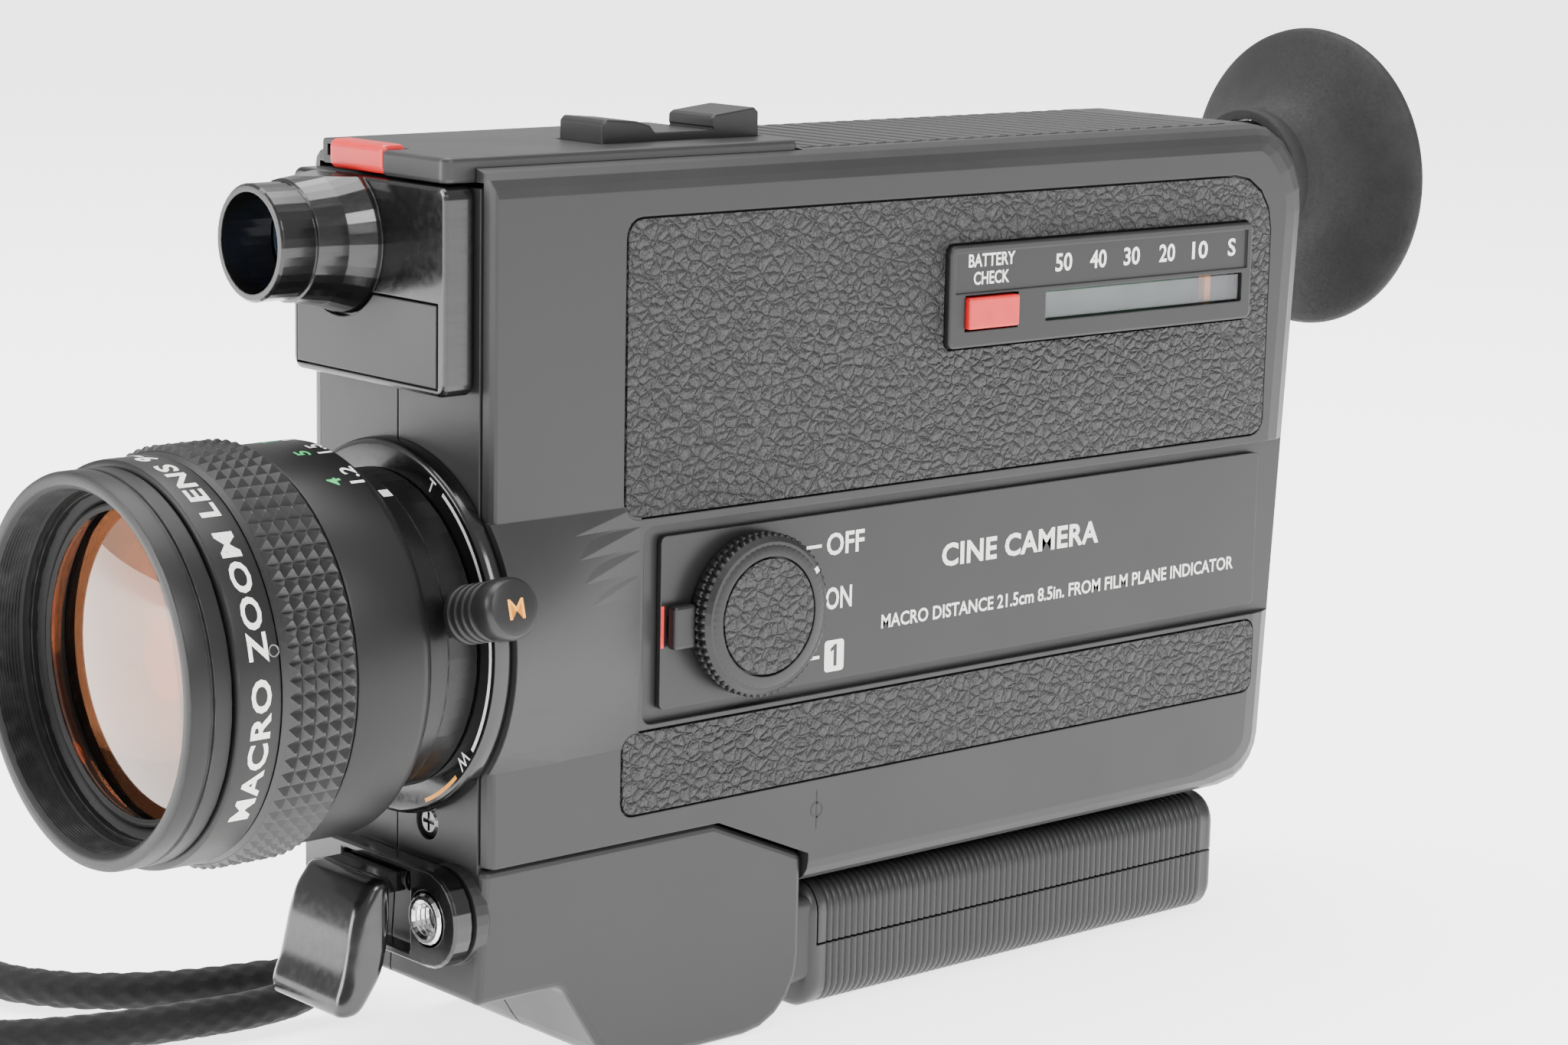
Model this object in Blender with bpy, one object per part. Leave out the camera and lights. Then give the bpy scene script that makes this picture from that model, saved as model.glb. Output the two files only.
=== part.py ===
"""Silent cine camera with a folding battery grip, built as separate pieces.

The lens points along -Y, the controls are on the +X side and +Z is up. Lengths below are in
millimetres, and MM turns them into Blender's metres. The drafting frame has x = 0 on the control
side of the body and z = 0 a little above the lens; the last step moves everything so that the
origin is at the middle of the camera's footprint.
"""

import math

import bmesh
import bpy
from mathutils import Matrix, Vector

MM = 0.001
GAP = 0.3  # clearance between neighbouring pieces
PLAY = 0.3  # clearance around a shaft in its hole

# Body
WIDTH = 38.0
FRONT = 19.6
TOP = 41.2
BOTTOM = -56.0
REAR = 166.7  # rear face at z = 0
REAR_LEAN = 0.056  # rear face moves back this much for each unit of height
WALL = 2.0
EDGE_R = 5.5
REAR_EDGE_R = 10.5
FRONT_EDGE_R = 1.5
TOP_REAR_R = 12.0
BOTTOM_REAR_R = 8.0
MIDDLE = -WIDTH / 2

# Lower housing that carries the trigger and the grip's hub
HOUSING_TOP = -44.5
HOUSING_INSET = 0.8
HOUSING_STEP_Y = 56.4
HOUSING_REAR = 72.0
HOUSING_REAR_TOP = -51.2
HOUSING_BOTTOM = -74.5
HOUSING_NOSE = 18.4
HOUSING_NOSE_BOTTOM = -62.0
HOUSING_WALL = 2.2

# Folding grip
HUB_Y = 58.0
HUB_Z = -60.0
HUB_R = 12.0
HUB_PIN_R = 2.0
GRIP_START = 16.8  # from the hub's axis to the grip's front face
GRIP_LENGTH = 80.0
GRIP_INSET = 3.0
GRIP_TOP = -57.0
GRIP_THICK = 17.5
GRIP_WALL = 1.2
GRIP_EDGE_R = 4.0
GRIP_SPLIT = -65.3
CELL_R = 7.1
CELL_LENGTH = 50.0
COVER_TRAVEL = 12.0

# Lens
LENS_Z = -17.0
LENS_MOUNT_R = 14.2
BARREL_R = 20.7
FOCUS_R = 24.3
KNURL_R = 24.9
FOCUS_FRONT = -19.7
KNURL_FRONT = -13.2
KNURL_REAR = -3.6
FOCUS_REAR = 8.1
FILTER_FRONT = -25.5
FILTER_R = 23.6
GLASS_R = BARREL_R - 1.7
INDEX_REAR = 12.4
ZOOM_REAR = 17.0
FLANGE_R = 23.6
SWELL_R = 24.5  # the body swells to this radius behind the flange
SWELL_REAR = 43.0
LEVER_ANGLE = 14.6
KNOB_R = 3.6
KNOB_START = 22.4
KNOB_END = 33.0

# Viewfinder
FINDER_X = -25.0
FINDER_Z = 31.0
FINDER_FRONT = 2.0
FINDER_TUBE_R = 7.2
FINDER_BORE_R = 6.2
BLOCK_FRONT = 15.0
BLOCK_INSET = 3.0
BLOCK_BOTTOM = 13.7
BLOCK_TOP = 38.9
EYE_Z = 30.0
EYE_R = 9.0
EYE_END = REAR + 16.3
EYECUP_R = 22.6
EYECUP_END = REAR + 28.3

# Top plate, rocker and slider
PLATE_TOP = 42.3
PLATE_BOTTOM = 39.2
PLATE_INSET = 3.5
PLATE_FRONT = 15.3
PLATE_REAR = 71.0
ROCKER_NEAR = -10.2
ROCKER_FAR = -19.0
ROCKER_FRONT = 44.3
ROCKER_REAR = 69.8
ROCKER_PIVOT_Z = 40.9
RIB_PANEL_REAR = REAR - 14.7

# Control side
LEATHER_FRONT = 40.4
LEATHER_REAR = REAR - 8.9
LEATHER_TOP = 34.0
LEATHER_BOTTOM = -3.1
STRIP_TOP = -30.7
STRIP_BOTTOM = -41.1
BAND_FRONT = 43.4
BAND_TOP = -4.5
BAND_BOTTOM = -29.8
CONTROL_FRONT = 46.4
CONTROL_TOP = -6.0
CONTROL_BOTTOM = -28.3
METER_FRONT = 94.1
METER_REAR = 153.3
METER_TOP = 27.6
METER_BOTTOM = 13.9
DIAL_Y = 61.3
DIAL_Z = -17.4
DIAL_R = 10.3
INLAY_R = 7.5

# Film chamber, on the other side
CHAMBER_FRONT = 73.5
CHAMBER_REAR = REAR - 13.7
CHAMBER_TOP = 22.3
CHAMBER_BOTTOM = -50.0
CHAMBER_DEPTH = 23.0
CHAMBER_WALL = 1.5
DOOR_THICK = 1.8
HINGE_R = 1.9
HINGE_PIN_R = 0.7

# Drive
MOTOR_R = 9.0
MOTOR_Y = 50.0
MOTOR_Z = 8.0
TOOTH = 1.0  # gear module
PINION_TEETH = 12
IDLER_TEETH = 36
SPINDLE_TEETH = 36
SPINDLE_Y = 104.0
SPINDLE_Z = -14.0
SHUTTER_R = 12.0
SHUTTER_UP = 8.0  # shutter axis above the lens axis

# Trigger
TRIGGER_NEAR = -7.2
TRIGGER_FAR = -23.6
TRIGGER_TOP = -45.9
TRIGGER_PIVOT_Y = 16.6
TRIGGER_PIVOT_Z = -47.4
SOCKET_X = -6.5
SOCKET_Z = -51.3

# Strap: a limp braided cord of this diameter, as a loop through the lug
STRAP_D = 5.0
LUG_Y = 30.0
LUG_Z = -58.0
WIRE_R = 0.7

for _old in list(bpy.data.objects):
    bpy.data.objects.remove(_old)


# ---------------------------------------------------------------- shape helpers


def material(name, color, roughness, metallic=0.0, alpha=1.0):
    found = bpy.data.materials.get(name)
    if found:
        return found
    made = bpy.data.materials.new(name)
    made.use_nodes = True
    shader = made.node_tree.nodes["Principled BSDF"]
    shader.inputs["Base Color"].default_value = (*color, 1.0)
    shader.inputs["Roughness"].default_value = roughness
    shader.inputs["Metallic"].default_value = metallic
    shader.inputs["Alpha"].default_value = alpha
    made.diffuse_color = (*color, alpha)
    return made


SATIN = material("satin_black_plastic", (0.03, 0.03, 0.032), 0.45)
GLOSS = material("gloss_black_plastic", (0.015, 0.015, 0.016), 0.12)
LEATHER = material("black_leatherette", (0.035, 0.035, 0.037), 0.6)
LENS_BLACK = material("black_anodised_metal", (0.025, 0.025, 0.027), 0.35, 0.6)
RUBBER = material("black_rubber", (0.02, 0.02, 0.02), 0.75)
RED = material("red_plastic", (0.75, 0.03, 0.03), 0.3)
ORANGE = material("orange_plastic", (0.9, 0.3, 0.03), 0.4)
GLASS = material("coated_glass", (0.6, 0.5, 0.4), 0.03, 0.0, 0.35)
CLEAR = material("clear_window", (0.5, 0.52, 0.54), 0.1, 0.0, 0.5)
STEEL = material("bright_steel", (0.75, 0.75, 0.76), 0.2, 1.0)
BRASS = material("brass", (0.7, 0.5, 0.2), 0.3, 1.0)
WHITE = material("white_plastic", (0.8, 0.8, 0.78), 0.4)
GREEN = material("circuit_green", (0.03, 0.22, 0.08), 0.5)
CELL = material("cell_jacket", (0.35, 0.36, 0.4), 0.35, 0.5)
CORD = material("black_braid", (0.02, 0.02, 0.02), 0.85)


def new_object(name, mesh, look=None):
    made = bpy.data.objects.new(name, mesh)
    bpy.context.scene.collection.objects.link(made)
    if look:
        mesh.materials.append(look)
    return made


def from_points(name, points, faces):
    """An object from points in millimetres and faces, turned so that its faces point out."""
    mesh = bpy.data.meshes.new(name)
    mesh.from_pydata([Vector(p) * MM for p in points], [], faces)
    body = bmesh.new()
    body.from_mesh(mesh)
    bmesh.ops.remove_doubles(body, verts=body.verts, dist=0.00001)
    bmesh.ops.recalc_face_normals(body, faces=body.faces)
    body.to_mesh(mesh)
    body.free()
    return new_object(name, mesh)


def rounded(corners, steps=4):
    """Outline through corners (a, b, radius), each corner replaced by an arc of that radius."""
    outline = []
    count = len(corners)
    for i, (a, b, radius) in enumerate(corners):
        here = Vector((a, b))
        before = (Vector(corners[i - 1][:2]) - here).normalized()
        after = (Vector(corners[(i + 1) % count][:2]) - here).normalized()
        if radius < 0.05:
            outline.append((a, b))
            continue
        half = before.angle(after) / 2
        centre = here + (before + after).normalized() * radius / math.sin(half)
        start = here + before * radius / math.tan(half) - centre
        turn = start.angle_signed(here + after * radius / math.tan(half) - centre)
        for k in range(steps + 1):
            spoke = start.copy()
            spoke.rotate(Matrix.Rotation(-turn * k / steps, 2))
            outline.append(tuple(centre + spoke))
    return outline


PLACES = {
    "X": lambda a, b, along: (along, a, b),
    "Y": lambda a, b, along: (a, along, b),
    "Z": lambda a, b, along: (a, b, along),
}


def prism(name, outline, axis, low, high):
    """The outline, in the two axes other than axis, extruded from low to high."""
    place = PLACES[axis]
    count = len(outline)
    points = [place(a, b, low) for a, b in outline] + [place(a, b, high) for a, b in outline]
    faces = [list(range(count)), list(range(count, 2 * count))]
    faces += [[i, (i + 1) % count, count + (i + 1) % count, count + i] for i in range(count)]
    return from_points(name, points, faces)


def box(name, x, y, z):
    return prism(name, [(x[0], y[0]), (x[1], y[0]), (x[1], y[1]), (x[0], y[1])], "Z", *z)


def slab(name, axis, a, b, along, radius=0.0, steps=4):
    """A box whose four edges along axis are rounded."""
    corners = [(a[0], b[0], radius), (a[1], b[0], radius), (a[1], b[1], radius), (a[0], b[1], radius)]
    return prism(name, rounded(corners, steps), axis, *along)


def turned(name, profile, centre, axis="Y", sides=48):
    """A closed profile of (radius, place along the axis) turned about the axis through centre."""
    place = PLACES[axis]
    points = []
    rings = []
    for radius, along in profile:
        if radius < 0.001:
            rings.append([len(points)] * sides)
            points.append(place(centre[0], centre[1], along))
            continue
        rings.append([len(points) + k for k in range(sides)])
        for k in range(sides):
            angle = 2 * math.pi * k / sides
            a = centre[0] + radius * math.cos(angle)
            b = centre[1] + radius * math.sin(angle)
            points.append(place(a, b, along))
    faces = []
    for i, ring in enumerate(rings):
        other = rings[(i + 1) % len(rings)]
        following = profile[(i + 1) % len(rings)]
        if abs(profile[i][1] - following[1]) < 0.001 and min(profile[i][0], following[0]) < 0.001:
            flat_end = ring if profile[i][0] > following[0] else other
            if profile[i][0] + following[0] > 0.001:
                faces.append(flat_end)
            continue
        for k in range(sides):
            loop = [ring[k], ring[(k + 1) % sides], other[(k + 1) % sides], other[k]]
            loop = list(dict.fromkeys(loop))
            if len(loop) > 2:
                faces.append(loop)
    return from_points(name, points, faces)


def rod(name, radius, centre, axis, low, high, sides=32):
    return turned(name, [(0, low), (radius, low), (radius, high), (0, high)], centre, axis, sides)


def bake(piece):
    """Turns the object's modifiers into its mesh."""
    graph = bpy.context.evaluated_depsgraph_get()
    piece.data = bpy.data.meshes.new_from_object(piece.evaluated_get(graph))
    piece.modifiers.clear()
    return piece


def flatten(piece):
    """Welds near points and splits every face that isn't flat into triangles."""
    body = bmesh.new()
    body.from_mesh(piece.data)
    bmesh.ops.remove_doubles(body, verts=body.verts, dist=0.00001)
    bmesh.ops.dissolve_degenerate(body, edges=body.edges, dist=0.00001)
    bent = [face for face in body.faces if len(face.verts) > 3]
    bmesh.ops.connect_verts_nonplanar(body, angle_limit=0.001, faces=bent)
    body.to_mesh(piece.data)
    body.free()
    return piece


def combine(piece, others, operation):
    for other in others:
        step = piece.modifiers.new(operation.lower(), "BOOLEAN")
        step.operation = operation
        step.solver = "EXACT"
        step.object = other
        bake(piece)
        bpy.data.objects.remove(other)
    return piece


def cut(piece, *cutters):
    return combine(piece, cutters, "DIFFERENCE")


def join(piece, *others):
    return combine(piece, others, "UNION")


def keep(piece, *regions):
    return combine(piece, regions, "INTERSECT")


def bevel(piece, width, segments=2, angle=40.0):
    step = piece.modifiers.new("bevel", "BEVEL")
    step.width = width * MM
    step.segments = segments
    step.limit_method = "ANGLE"
    step.angle_limit = math.radians(angle)
    step.use_clamp_overlap = True
    return bake(piece)


def finish(piece, look, smooth=True, name=None):
    piece.name = name or piece.name
    piece.data.materials.clear()
    piece.data.materials.append(look)
    if smooth:
        piece.data.shade_smooth()
        piece.data.set_sharp_from_angle(angle=math.radians(35))
    return piece


# ---------------------------------------------------------------- body shells

FAR_X = -WIDTH
FAR_LIMIT = FAR_X - 20


def rear_at(z):
    return REAR + REAR_LEAN * z


def body_solid(inset):
    """The body's rounded outer form, drawn in by inset all round."""
    low = BOTTOM + inset
    high = TOP - inset
    corners = [
        (FRONT + inset, low, 0),
        (rear_at(low) - inset, low, BOTTOM_REAR_R - inset),
        (rear_at(high) - inset, high, TOP_REAR_R - inset),
        (FRONT + inset, high, 0),
    ]
    solid = prism("body_solid", rounded(corners, 5), "X", FAR_X + inset, -inset)
    widest = REAR_EDGE_R - inset
    body = bmesh.new()
    body.from_mesh(solid.data)
    weight = body.edges.layers.float.new("bevel_weight_edge")
    front_y = (FRONT + inset) * MM
    for edge in body.edges:
        one, two = (v.co for v in edge.verts)
        if abs(one.x - two.x) > 0.00001:
            continue
        centre = (one + two) / 2
        if abs(one.y - front_y) < 0.00001 and abs(two.y - front_y) < 0.00001:
            radius = FRONT_EDGE_R - min(inset, FRONT_EDGE_R - 0.3)
        else:
            start = rear_at(centre.z / MM) - inset - TOP_REAR_R
            share = min(max((centre.y / MM - start) / TOP_REAR_R, 0.0), 1.0)
            share = share * share * (3 - 2 * share)
            radius = EDGE_R - inset + (REAR_EDGE_R - EDGE_R) * share
        edge[weight] = radius / widest
    body.to_mesh(solid.data)
    body.free()
    step = solid.modifiers.new("edges", "BEVEL")
    step.width = widest * MM
    step.segments = 5
    step.limit_method = "WEIGHT"
    step.use_clamp_overlap = True
    return flatten(bake(solid))


def housing_region(gap, low_x=FAR_LIMIT, high_x=20.0):
    """The space below the covers' stepped lower edge."""
    outline = [
        (FRONT - 10, HOUSING_TOP + gap),
        (HOUSING_STEP_Y + gap * 0.3, HOUSING_TOP + gap),
        (HOUSING_REAR + gap, HOUSING_REAR_TOP + gap),
        (HOUSING_REAR + gap, HOUSING_BOTTOM - 10),
        (FRONT - 10, HOUSING_BOTTOM - 10),
    ]
    return prism("housing_region", outline, "X", low_x, high_x)


def front_region(gap):
    """The space of the front wall between the two covers."""
    x = (FAR_X + WALL + GAP - gap - 0.05, -WALL - GAP + gap + 0.05)
    return box("front_region", x, (FRONT - 5, FRONT + WALL + gap + 0.2), (BOTTOM - 5, TOP - WALL + 0.1))


def top_pocket():
    """Room for the top plate, through the covers' top walls, and for the ribbed panel behind it."""
    x = (FAR_X + PLATE_INSET - GAP, -PLATE_INSET + GAP)
    return box("top_pocket", x, (FRONT - 5, PLATE_REAR + GAP), (BLOCK_TOP, TOP + 5))


def rib_pocket():
    x = (FAR_X + PLATE_INSET + 1 - GAP, -PLATE_INSET - 1 + GAP)
    return box("rib_pocket", x, (PLATE_REAR + 1.2, RIB_PANEL_REAR + GAP), (TOP - 1.1, TOP + 5))


def eye_hole():
    return rod("eye_hole", EYE_R + GAP, (FINDER_X, EYE_Z), "Y", REAR - 17, EYE_END + 2)


def cover_shell():
    outer = join(body_solid(0.0), flatten(swelling(1)), flatten(swelling(-1)))
    shell = cut(outer, body_solid(WALL))
    return cut(shell, front_region(GAP), top_pocket(), rib_pocket(), eye_hole())


def swelling(side):
    """The body's swelling behind the lens flange: an arc in front, running back to nothing."""
    face = 0.0 if side > 0 else FAR_X
    half = math.acos((WIDTH / 2) / SWELL_R)
    steps = 10
    points = []
    for y, share in ((FRONT + 0.05, 1.0), ((FRONT + SWELL_REAR) / 2, 0.5), (SWELL_REAR, 0.0)):
        row = []
        for k in range(steps + 1):
            angle = half * (2 * k / steps - 1)
            out = SWELL_R * math.cos(angle) - WIDTH / 2
            row.append((face + side * (out * share - 0.02), y, LENS_Z + SWELL_R * math.sin(angle)))
        inner = face - side * 1.2
        points += row + [(inner, y, row[-1][2]), (inner, y, row[0][2])]
    count = steps + 3
    faces = [list(range(count)), list(range(2 * count, 3 * count))]
    for ring in (0, count):
        for k in range(count):
            other = (k + 1) % count
            faces.append([ring + k, ring + other, ring + count + other, ring + count + k])
    return from_points("swelling", points, faces)


def panel_outline(y, z, radius, grow=0.0, rear_radius=None):
    rear_r = radius if rear_radius is None else rear_radius
    corners = [
        (y[0] - grow, z[0] - grow, radius),
        (y[1] + grow, z[0] - grow, radius),
        (y[1] + grow, z[1] + grow, rear_r),
        (y[0] - grow, z[1] + grow, radius),
    ]
    return rounded(corners, 4)


LEATHER_Y = (LEATHER_FRONT, LEATHER_REAR)
LEATHER_Z = (LEATHER_BOTTOM, LEATHER_TOP)
STRIP_Z = (STRIP_BOTTOM, STRIP_TOP)
METER_Y = (METER_FRONT, METER_REAR)
METER_Z = (METER_BOTTOM, METER_TOP)
WINDOW_Y = (METER_FRONT + 17.9, METER_REAR - 2.0)
WINDOW_Z = (METER_BOTTOM + 2.6, METER_BOTTOM + 6.7)
BUTTON_Y = (METER_FRONT + 2.8, METER_FRONT + 12.7)
BUTTON_Z = (METER_BOTTOM + 2.2, METER_BOTTOM + 7.0)
SKIN = 0.6
PANEL_DEPTH = SKIN + GAP
BAND_DEPTH = 1.2
TAB_Y = (CONTROL_FRONT + 0.8, DIAL_Y - DIAL_R - GAP)
TAB_Z = (DIAL_Z - 3.0, DIAL_Z + 2.6)
TAB_TRAVEL = 1.0


def left_cover():
    shell = cut(cover_shell(), box("half", (FAR_LIMIT, MIDDLE + GAP / 2), (-50, 250), (-90, 90)))
    leather = prism("c1", panel_outline(LEATHER_Y, LEATHER_Z, 2.5, GAP, 8.0), "X", -PANEL_DEPTH, 5)
    strip = prism("c2", panel_outline(LEATHER_Y, STRIP_Z, 2.0, GAP), "X", -PANEL_DEPTH, 5)
    band = slab("c3", "X", (BAND_FRONT, REAR + 20), (BAND_BOTTOM, BAND_TOP), (-BAND_DEPTH, 5), 1.5)
    window = slab("c4", "X", WINDOW_Y, WINDOW_Z, (-WALL - 5, 5), 0.3)
    button = box("c5", (-WALL - 5, 5), (BUTTON_Y[0], BUTTON_Y[1]), (BUTTON_Z[0], BUTTON_Z[1]))
    dial = rod("c6", 2.0 + PLAY, (DIAL_Y, DIAL_Z), "X", -WALL - 5, 5)
    shell = cut(shell, leather, strip, band, window, button, dial, housing_region(0.0))
    return finish(shell, SATIN, name="left_cover")


DOOR_Y = (CHAMBER_FRONT - 3.0, CHAMBER_REAR - 0.7)
DOOR_Z = (CHAMBER_BOTTOM, CHAMBER_TOP)
HINGE_X = FAR_X - HINGE_R - GAP
HINGE_Y = DOOR_Y[0] - 1.5
KNUCKLES = ((-44.0, -30.3), (-30.0, 2.0), (2.3, 16.0))
LATCH_Y = DOOR_Y[1] - 12.0
LATCH_Z = MIDDLE + 5.0


def knuckle(name, z):
    barrel = rod(name, HINGE_R, (HINGE_X, HINGE_Y), "Z", z[0], z[1], 20)
    return barrel


def right_cover():
    shell = cut(cover_shell(), box("half", (MIDDLE - GAP / 2, 20), (-50, 250), (-90, 90)))
    opening = prism("o", panel_outline(DOOR_Y, DOOR_Z, 3.0, GAP), "X", FAR_LIMIT, FAR_X + WALL + 1)
    shell = cut(shell, opening)
    for z in (KNUCKLES[0], KNUCKLES[2]):
        foot = box("foot", (HINGE_X, FAR_X + 0.5), (HINGE_Y - HINGE_R, HINGE_Y + 0.6), z)
        shell = join(shell, knuckle("k", z), foot)
    shell = cut(shell, rod("pin_hole", HINGE_PIN_R + PLAY, (HINGE_X, HINGE_Y), "Z", -60, 30, 16))
    return finish(cut(shell, housing_region(0.0)), SATIN, name="right_cover")


HOUSING_X = (FAR_X + HOUSING_INSET, -HOUSING_INSET)
EAR_X = (HOUSING_X[0] + HOUSING_WALL, HOUSING_X[1] - HOUSING_WALL)
WIRE_X = HOUSING_X[0] - 1.2


def housing_outline(inset, top):
    nose = HOUSING_NOSE + inset
    rear = HOUSING_REAR - GAP - inset
    corners = [
        (nose, HOUSING_NOSE_BOTTOM + inset, 1.0),
        (32.0 + inset, HOUSING_NOSE_BOTTOM + inset, 3.0),
        (40.0 + inset, HOUSING_BOTTOM + inset, 7.0),
        (rear, HOUSING_BOTTOM + inset, 9.5 - inset),
    ]
    if inset:
        corners += [(rear, top, 0), (FRONT + HOUSING_WALL, top, 0)]
    else:
        corners += [(rear, HOUSING_REAR_TOP - 0.2, 0), (HOUSING_STEP_Y, top, 0), (FRONT, top, 0)]
    return rounded(corners, 5)


def front_casing():
    """Front wall and lower housing in one, before it is split down the middle."""
    top = HOUSING_TOP - GAP
    housing = prism("housing", housing_outline(0.0, top), "X", *HOUSING_X)
    housing = bevel(housing, 1.6, 3, 50)
    hollow = prism("hollow", housing_outline(HOUSING_WALL, top + 5), "X", *EAR_X)
    housing = cut(housing, hollow)
    wall_x = (FAR_X + WALL + GAP, -WALL - GAP)
    wall = box("front_wall", wall_x, (FRONT, FRONT + WALL), (HOUSING_TOP - 4, BLOCK_TOP - GAP))
    fairing = turned(
        "fairing",
        [
            (0, HOUSING_NOSE - 0.3),
            (6.3, HOUSING_NOSE - 0.3),
            (6.3, FRONT + 0.3),
            (3.5, FRONT + 3.5),
            (0, FRONT + 4.5),
        ],
        (SOCKET_X, SOCKET_Z),
        "Y",
        32,
    )
    casing = join(housing, wall, fairing)
    grip_space = box("grip_space", EAR_X, (HUB_Y - HUB_R - 0.8, 90), (HOUSING_BOTTOM - 5, HUB_Z + 3))
    hub_space = rod("hub_space", HUB_R + 0.8, (HUB_Y, HUB_Z), "X", *EAR_X, 40)
    neck_space = box("neck_space", EAR_X, (HUB_Y, 90), (HUB_Z, HUB_Z + HUB_R + 0.8))
    pin_space = rod("pin_space", HUB_PIN_R + PLAY, (HUB_Y, HUB_Z), "X", EAR_X[0] - 1.2, EAR_X[1] + 1.2)
    lens_hole = rod("lens_hole", LENS_MOUNT_R + PLAY, (MIDDLE, LENS_Z), "Y", 0, FRONT + WALL + 3, 48)
    finder_hole = rod("finder_hole", FINDER_BORE_R + 0.7, (FINDER_X, FINDER_Z), "Y", 0, 30)
    socket_hole = rod("socket_hole", 3.6, (SOCKET_X, SOCKET_Z), "Y", 0, 18.2 + GAP)
    casing = cut(casing, grip_space, hub_space, neck_space, pin_space, lens_hole, finder_hole, socket_hole)
    for x, z in SCREW_PLACES:
        casing = cut(
            casing,
            rod("head_space", 2.3, (x, z), "Y", 0, FRONT + 1.2, 24),
            rod("shank_space", 1.0 + PLAY, (x, z), "Y", 0, FRONT + 10, 20),
        )
    return casing


SCREW_PLACES = ((MIDDLE + 6.3, -41.0), (MIDDLE - 6.3, -41.0))


def front_left():
    half = cut(front_casing(), box("half", (FAR_LIMIT, MIDDLE + GAP / 2), (-50, 250), (-90, 90)))
    return finish(half, SATIN, name="front_left_casing")


def front_right():
    half = cut(front_casing(), box("half", (MIDDLE - GAP / 2, 20), (-50, 250), (-90, 90)))
    lug_y = (LUG_Y - 4, LUG_Y + 4)
    lug = box("lug_block", (WIRE_X - 2.0, HOUSING_X[0] + 1), lug_y, (LUG_Z + 2.4, LUG_Z + 6.6))
    hole = rod("lug_hole", WIRE_R + 0.45, (WIRE_X, LUG_Z + 4.5), "Y", LUG_Y - 10, LUG_Y + 10, 16)
    return finish(cut(join(half, lug), hole), SATIN, name="front_right_casing")


def strap_lug():
    """A bright wire ring that hangs in the block on the housing's side, swung outwards."""
    path = rounded([(-6.2, 4.5, 1.6), (6.2, 4.5, 1.6), (6.2, -4.4, 2.5), (-6.2, -4.4, 2.5)], 4)
    steps = len(path)
    sides = 10
    points = []
    for i, (a, b) in enumerate(path):
        before = Vector(path[i - 1])
        after = Vector(path[(i + 1) % steps])
        along = (after - before).normalized()
        across = Vector((along.y, -along.x))
        for k in range(sides):
            angle = 2 * math.pi * k / sides
            out = across * math.cos(angle) * WIRE_R
            drop = Vector((math.sin(angle) * WIRE_R, a + out.x, b + out.y - 4.5))
            drop.rotate(Matrix.Rotation(math.radians(52), 3, "Y"))
            points.append((WIRE_X + drop.x, LUG_Y + drop.y, LUG_Z + 4.5 + drop.z))
    faces = []
    for i in range(steps):
        for k in range(sides):
            one = i * sides + k
            two = i * sides + (k + 1) % sides
            three = ((i + 1) % steps) * sides + (k + 1) % sides
            four = ((i + 1) % steps) * sides + k
            faces.append([one, two, three, four])
    return finish(from_points("strap_lug", points, faces), STEEL)


# ---------------------------------------------------------------- front pieces


def finder_block():
    x = (FAR_X + BLOCK_INSET, -BLOCK_INSET)
    block = slab("finder_block", "Y", x, (BLOCK_BOTTOM, BLOCK_TOP), (BLOCK_FRONT, FRONT - GAP), 1.5)
    block = bevel(block, 0.5, 2, 50)
    tube = turned(
        "tube",
        [
            (0, BLOCK_FRONT + 1),
            (FINDER_TUBE_R + 2.2, BLOCK_FRONT + 1),
            (FINDER_TUBE_R + 2.0, BLOCK_FRONT - 0.6),
            (FINDER_TUBE_R + 0.9, BLOCK_FRONT - 4),
            (FINDER_TUBE_R + 0.35, FINDER_FRONT + 5),
            (FINDER_TUBE_R, FINDER_FRONT + 4.9),
            (FINDER_TUBE_R, FINDER_FRONT + 0.3),
            (FINDER_TUBE_R - 0.3, FINDER_FRONT),
            (0, FINDER_FRONT),
        ],
        (FINDER_X, FINDER_Z),
        "Y",
        40,
    )
    tube = cut(tube, box("trim", (FAR_LIMIT, 20), (-20, 40), (BLOCK_TOP - 0.1, BLOCK_TOP + 10)))
    plate = box("plate_seat", (x[0] + 0.8, x[1] - 1.4), (0, BLOCK_FRONT + 0.8), (BLOCK_BOTTOM + 0.8, 25.0))
    block = join(cut(block, plate), tube)
    block = cut(block, rod("bore", FINDER_BORE_R, (FINDER_X, FINDER_Z), "Y", -10, 30, 36))
    return finish(block, GLOSS)


def name_plate():
    x = (FAR_X + BLOCK_INSET + 0.8 + GAP, -BLOCK_INSET - 1.4 - GAP)
    plate = box("name_plate", x, (BLOCK_FRONT - 0.1, BLOCK_FRONT + 0.5), (BLOCK_BOTTOM + 0.8 + GAP, 24.7))
    notch = rod("notch", FINDER_TUBE_R + 2.2 + GAP, (FINDER_X, FINDER_Z), "Y", 0, 30, 48)
    return finish(cut(plate, notch), SATIN)


def finder_lens():
    profile = [(0, 8.6), (5.9, 9.4), (5.9, 11.4), (0, 12.0)]
    return finish(turned("finder_front_lens", profile, (FINDER_X, FINDER_Z), "Y", 32), GLASS)


def finder_barrel():
    front = FRONT + WALL + 2 * GAP
    rear = EYE_END - 20.5
    profile = [(5.9, front), (6.5, front), (6.5, rear), (5.9, rear)]
    centre = (FINDER_X, (FINDER_Z + EYE_Z) / 2)
    return finish(turned("finder_barrel", profile, centre, "Y", 32), LENS_BLACK)


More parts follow.
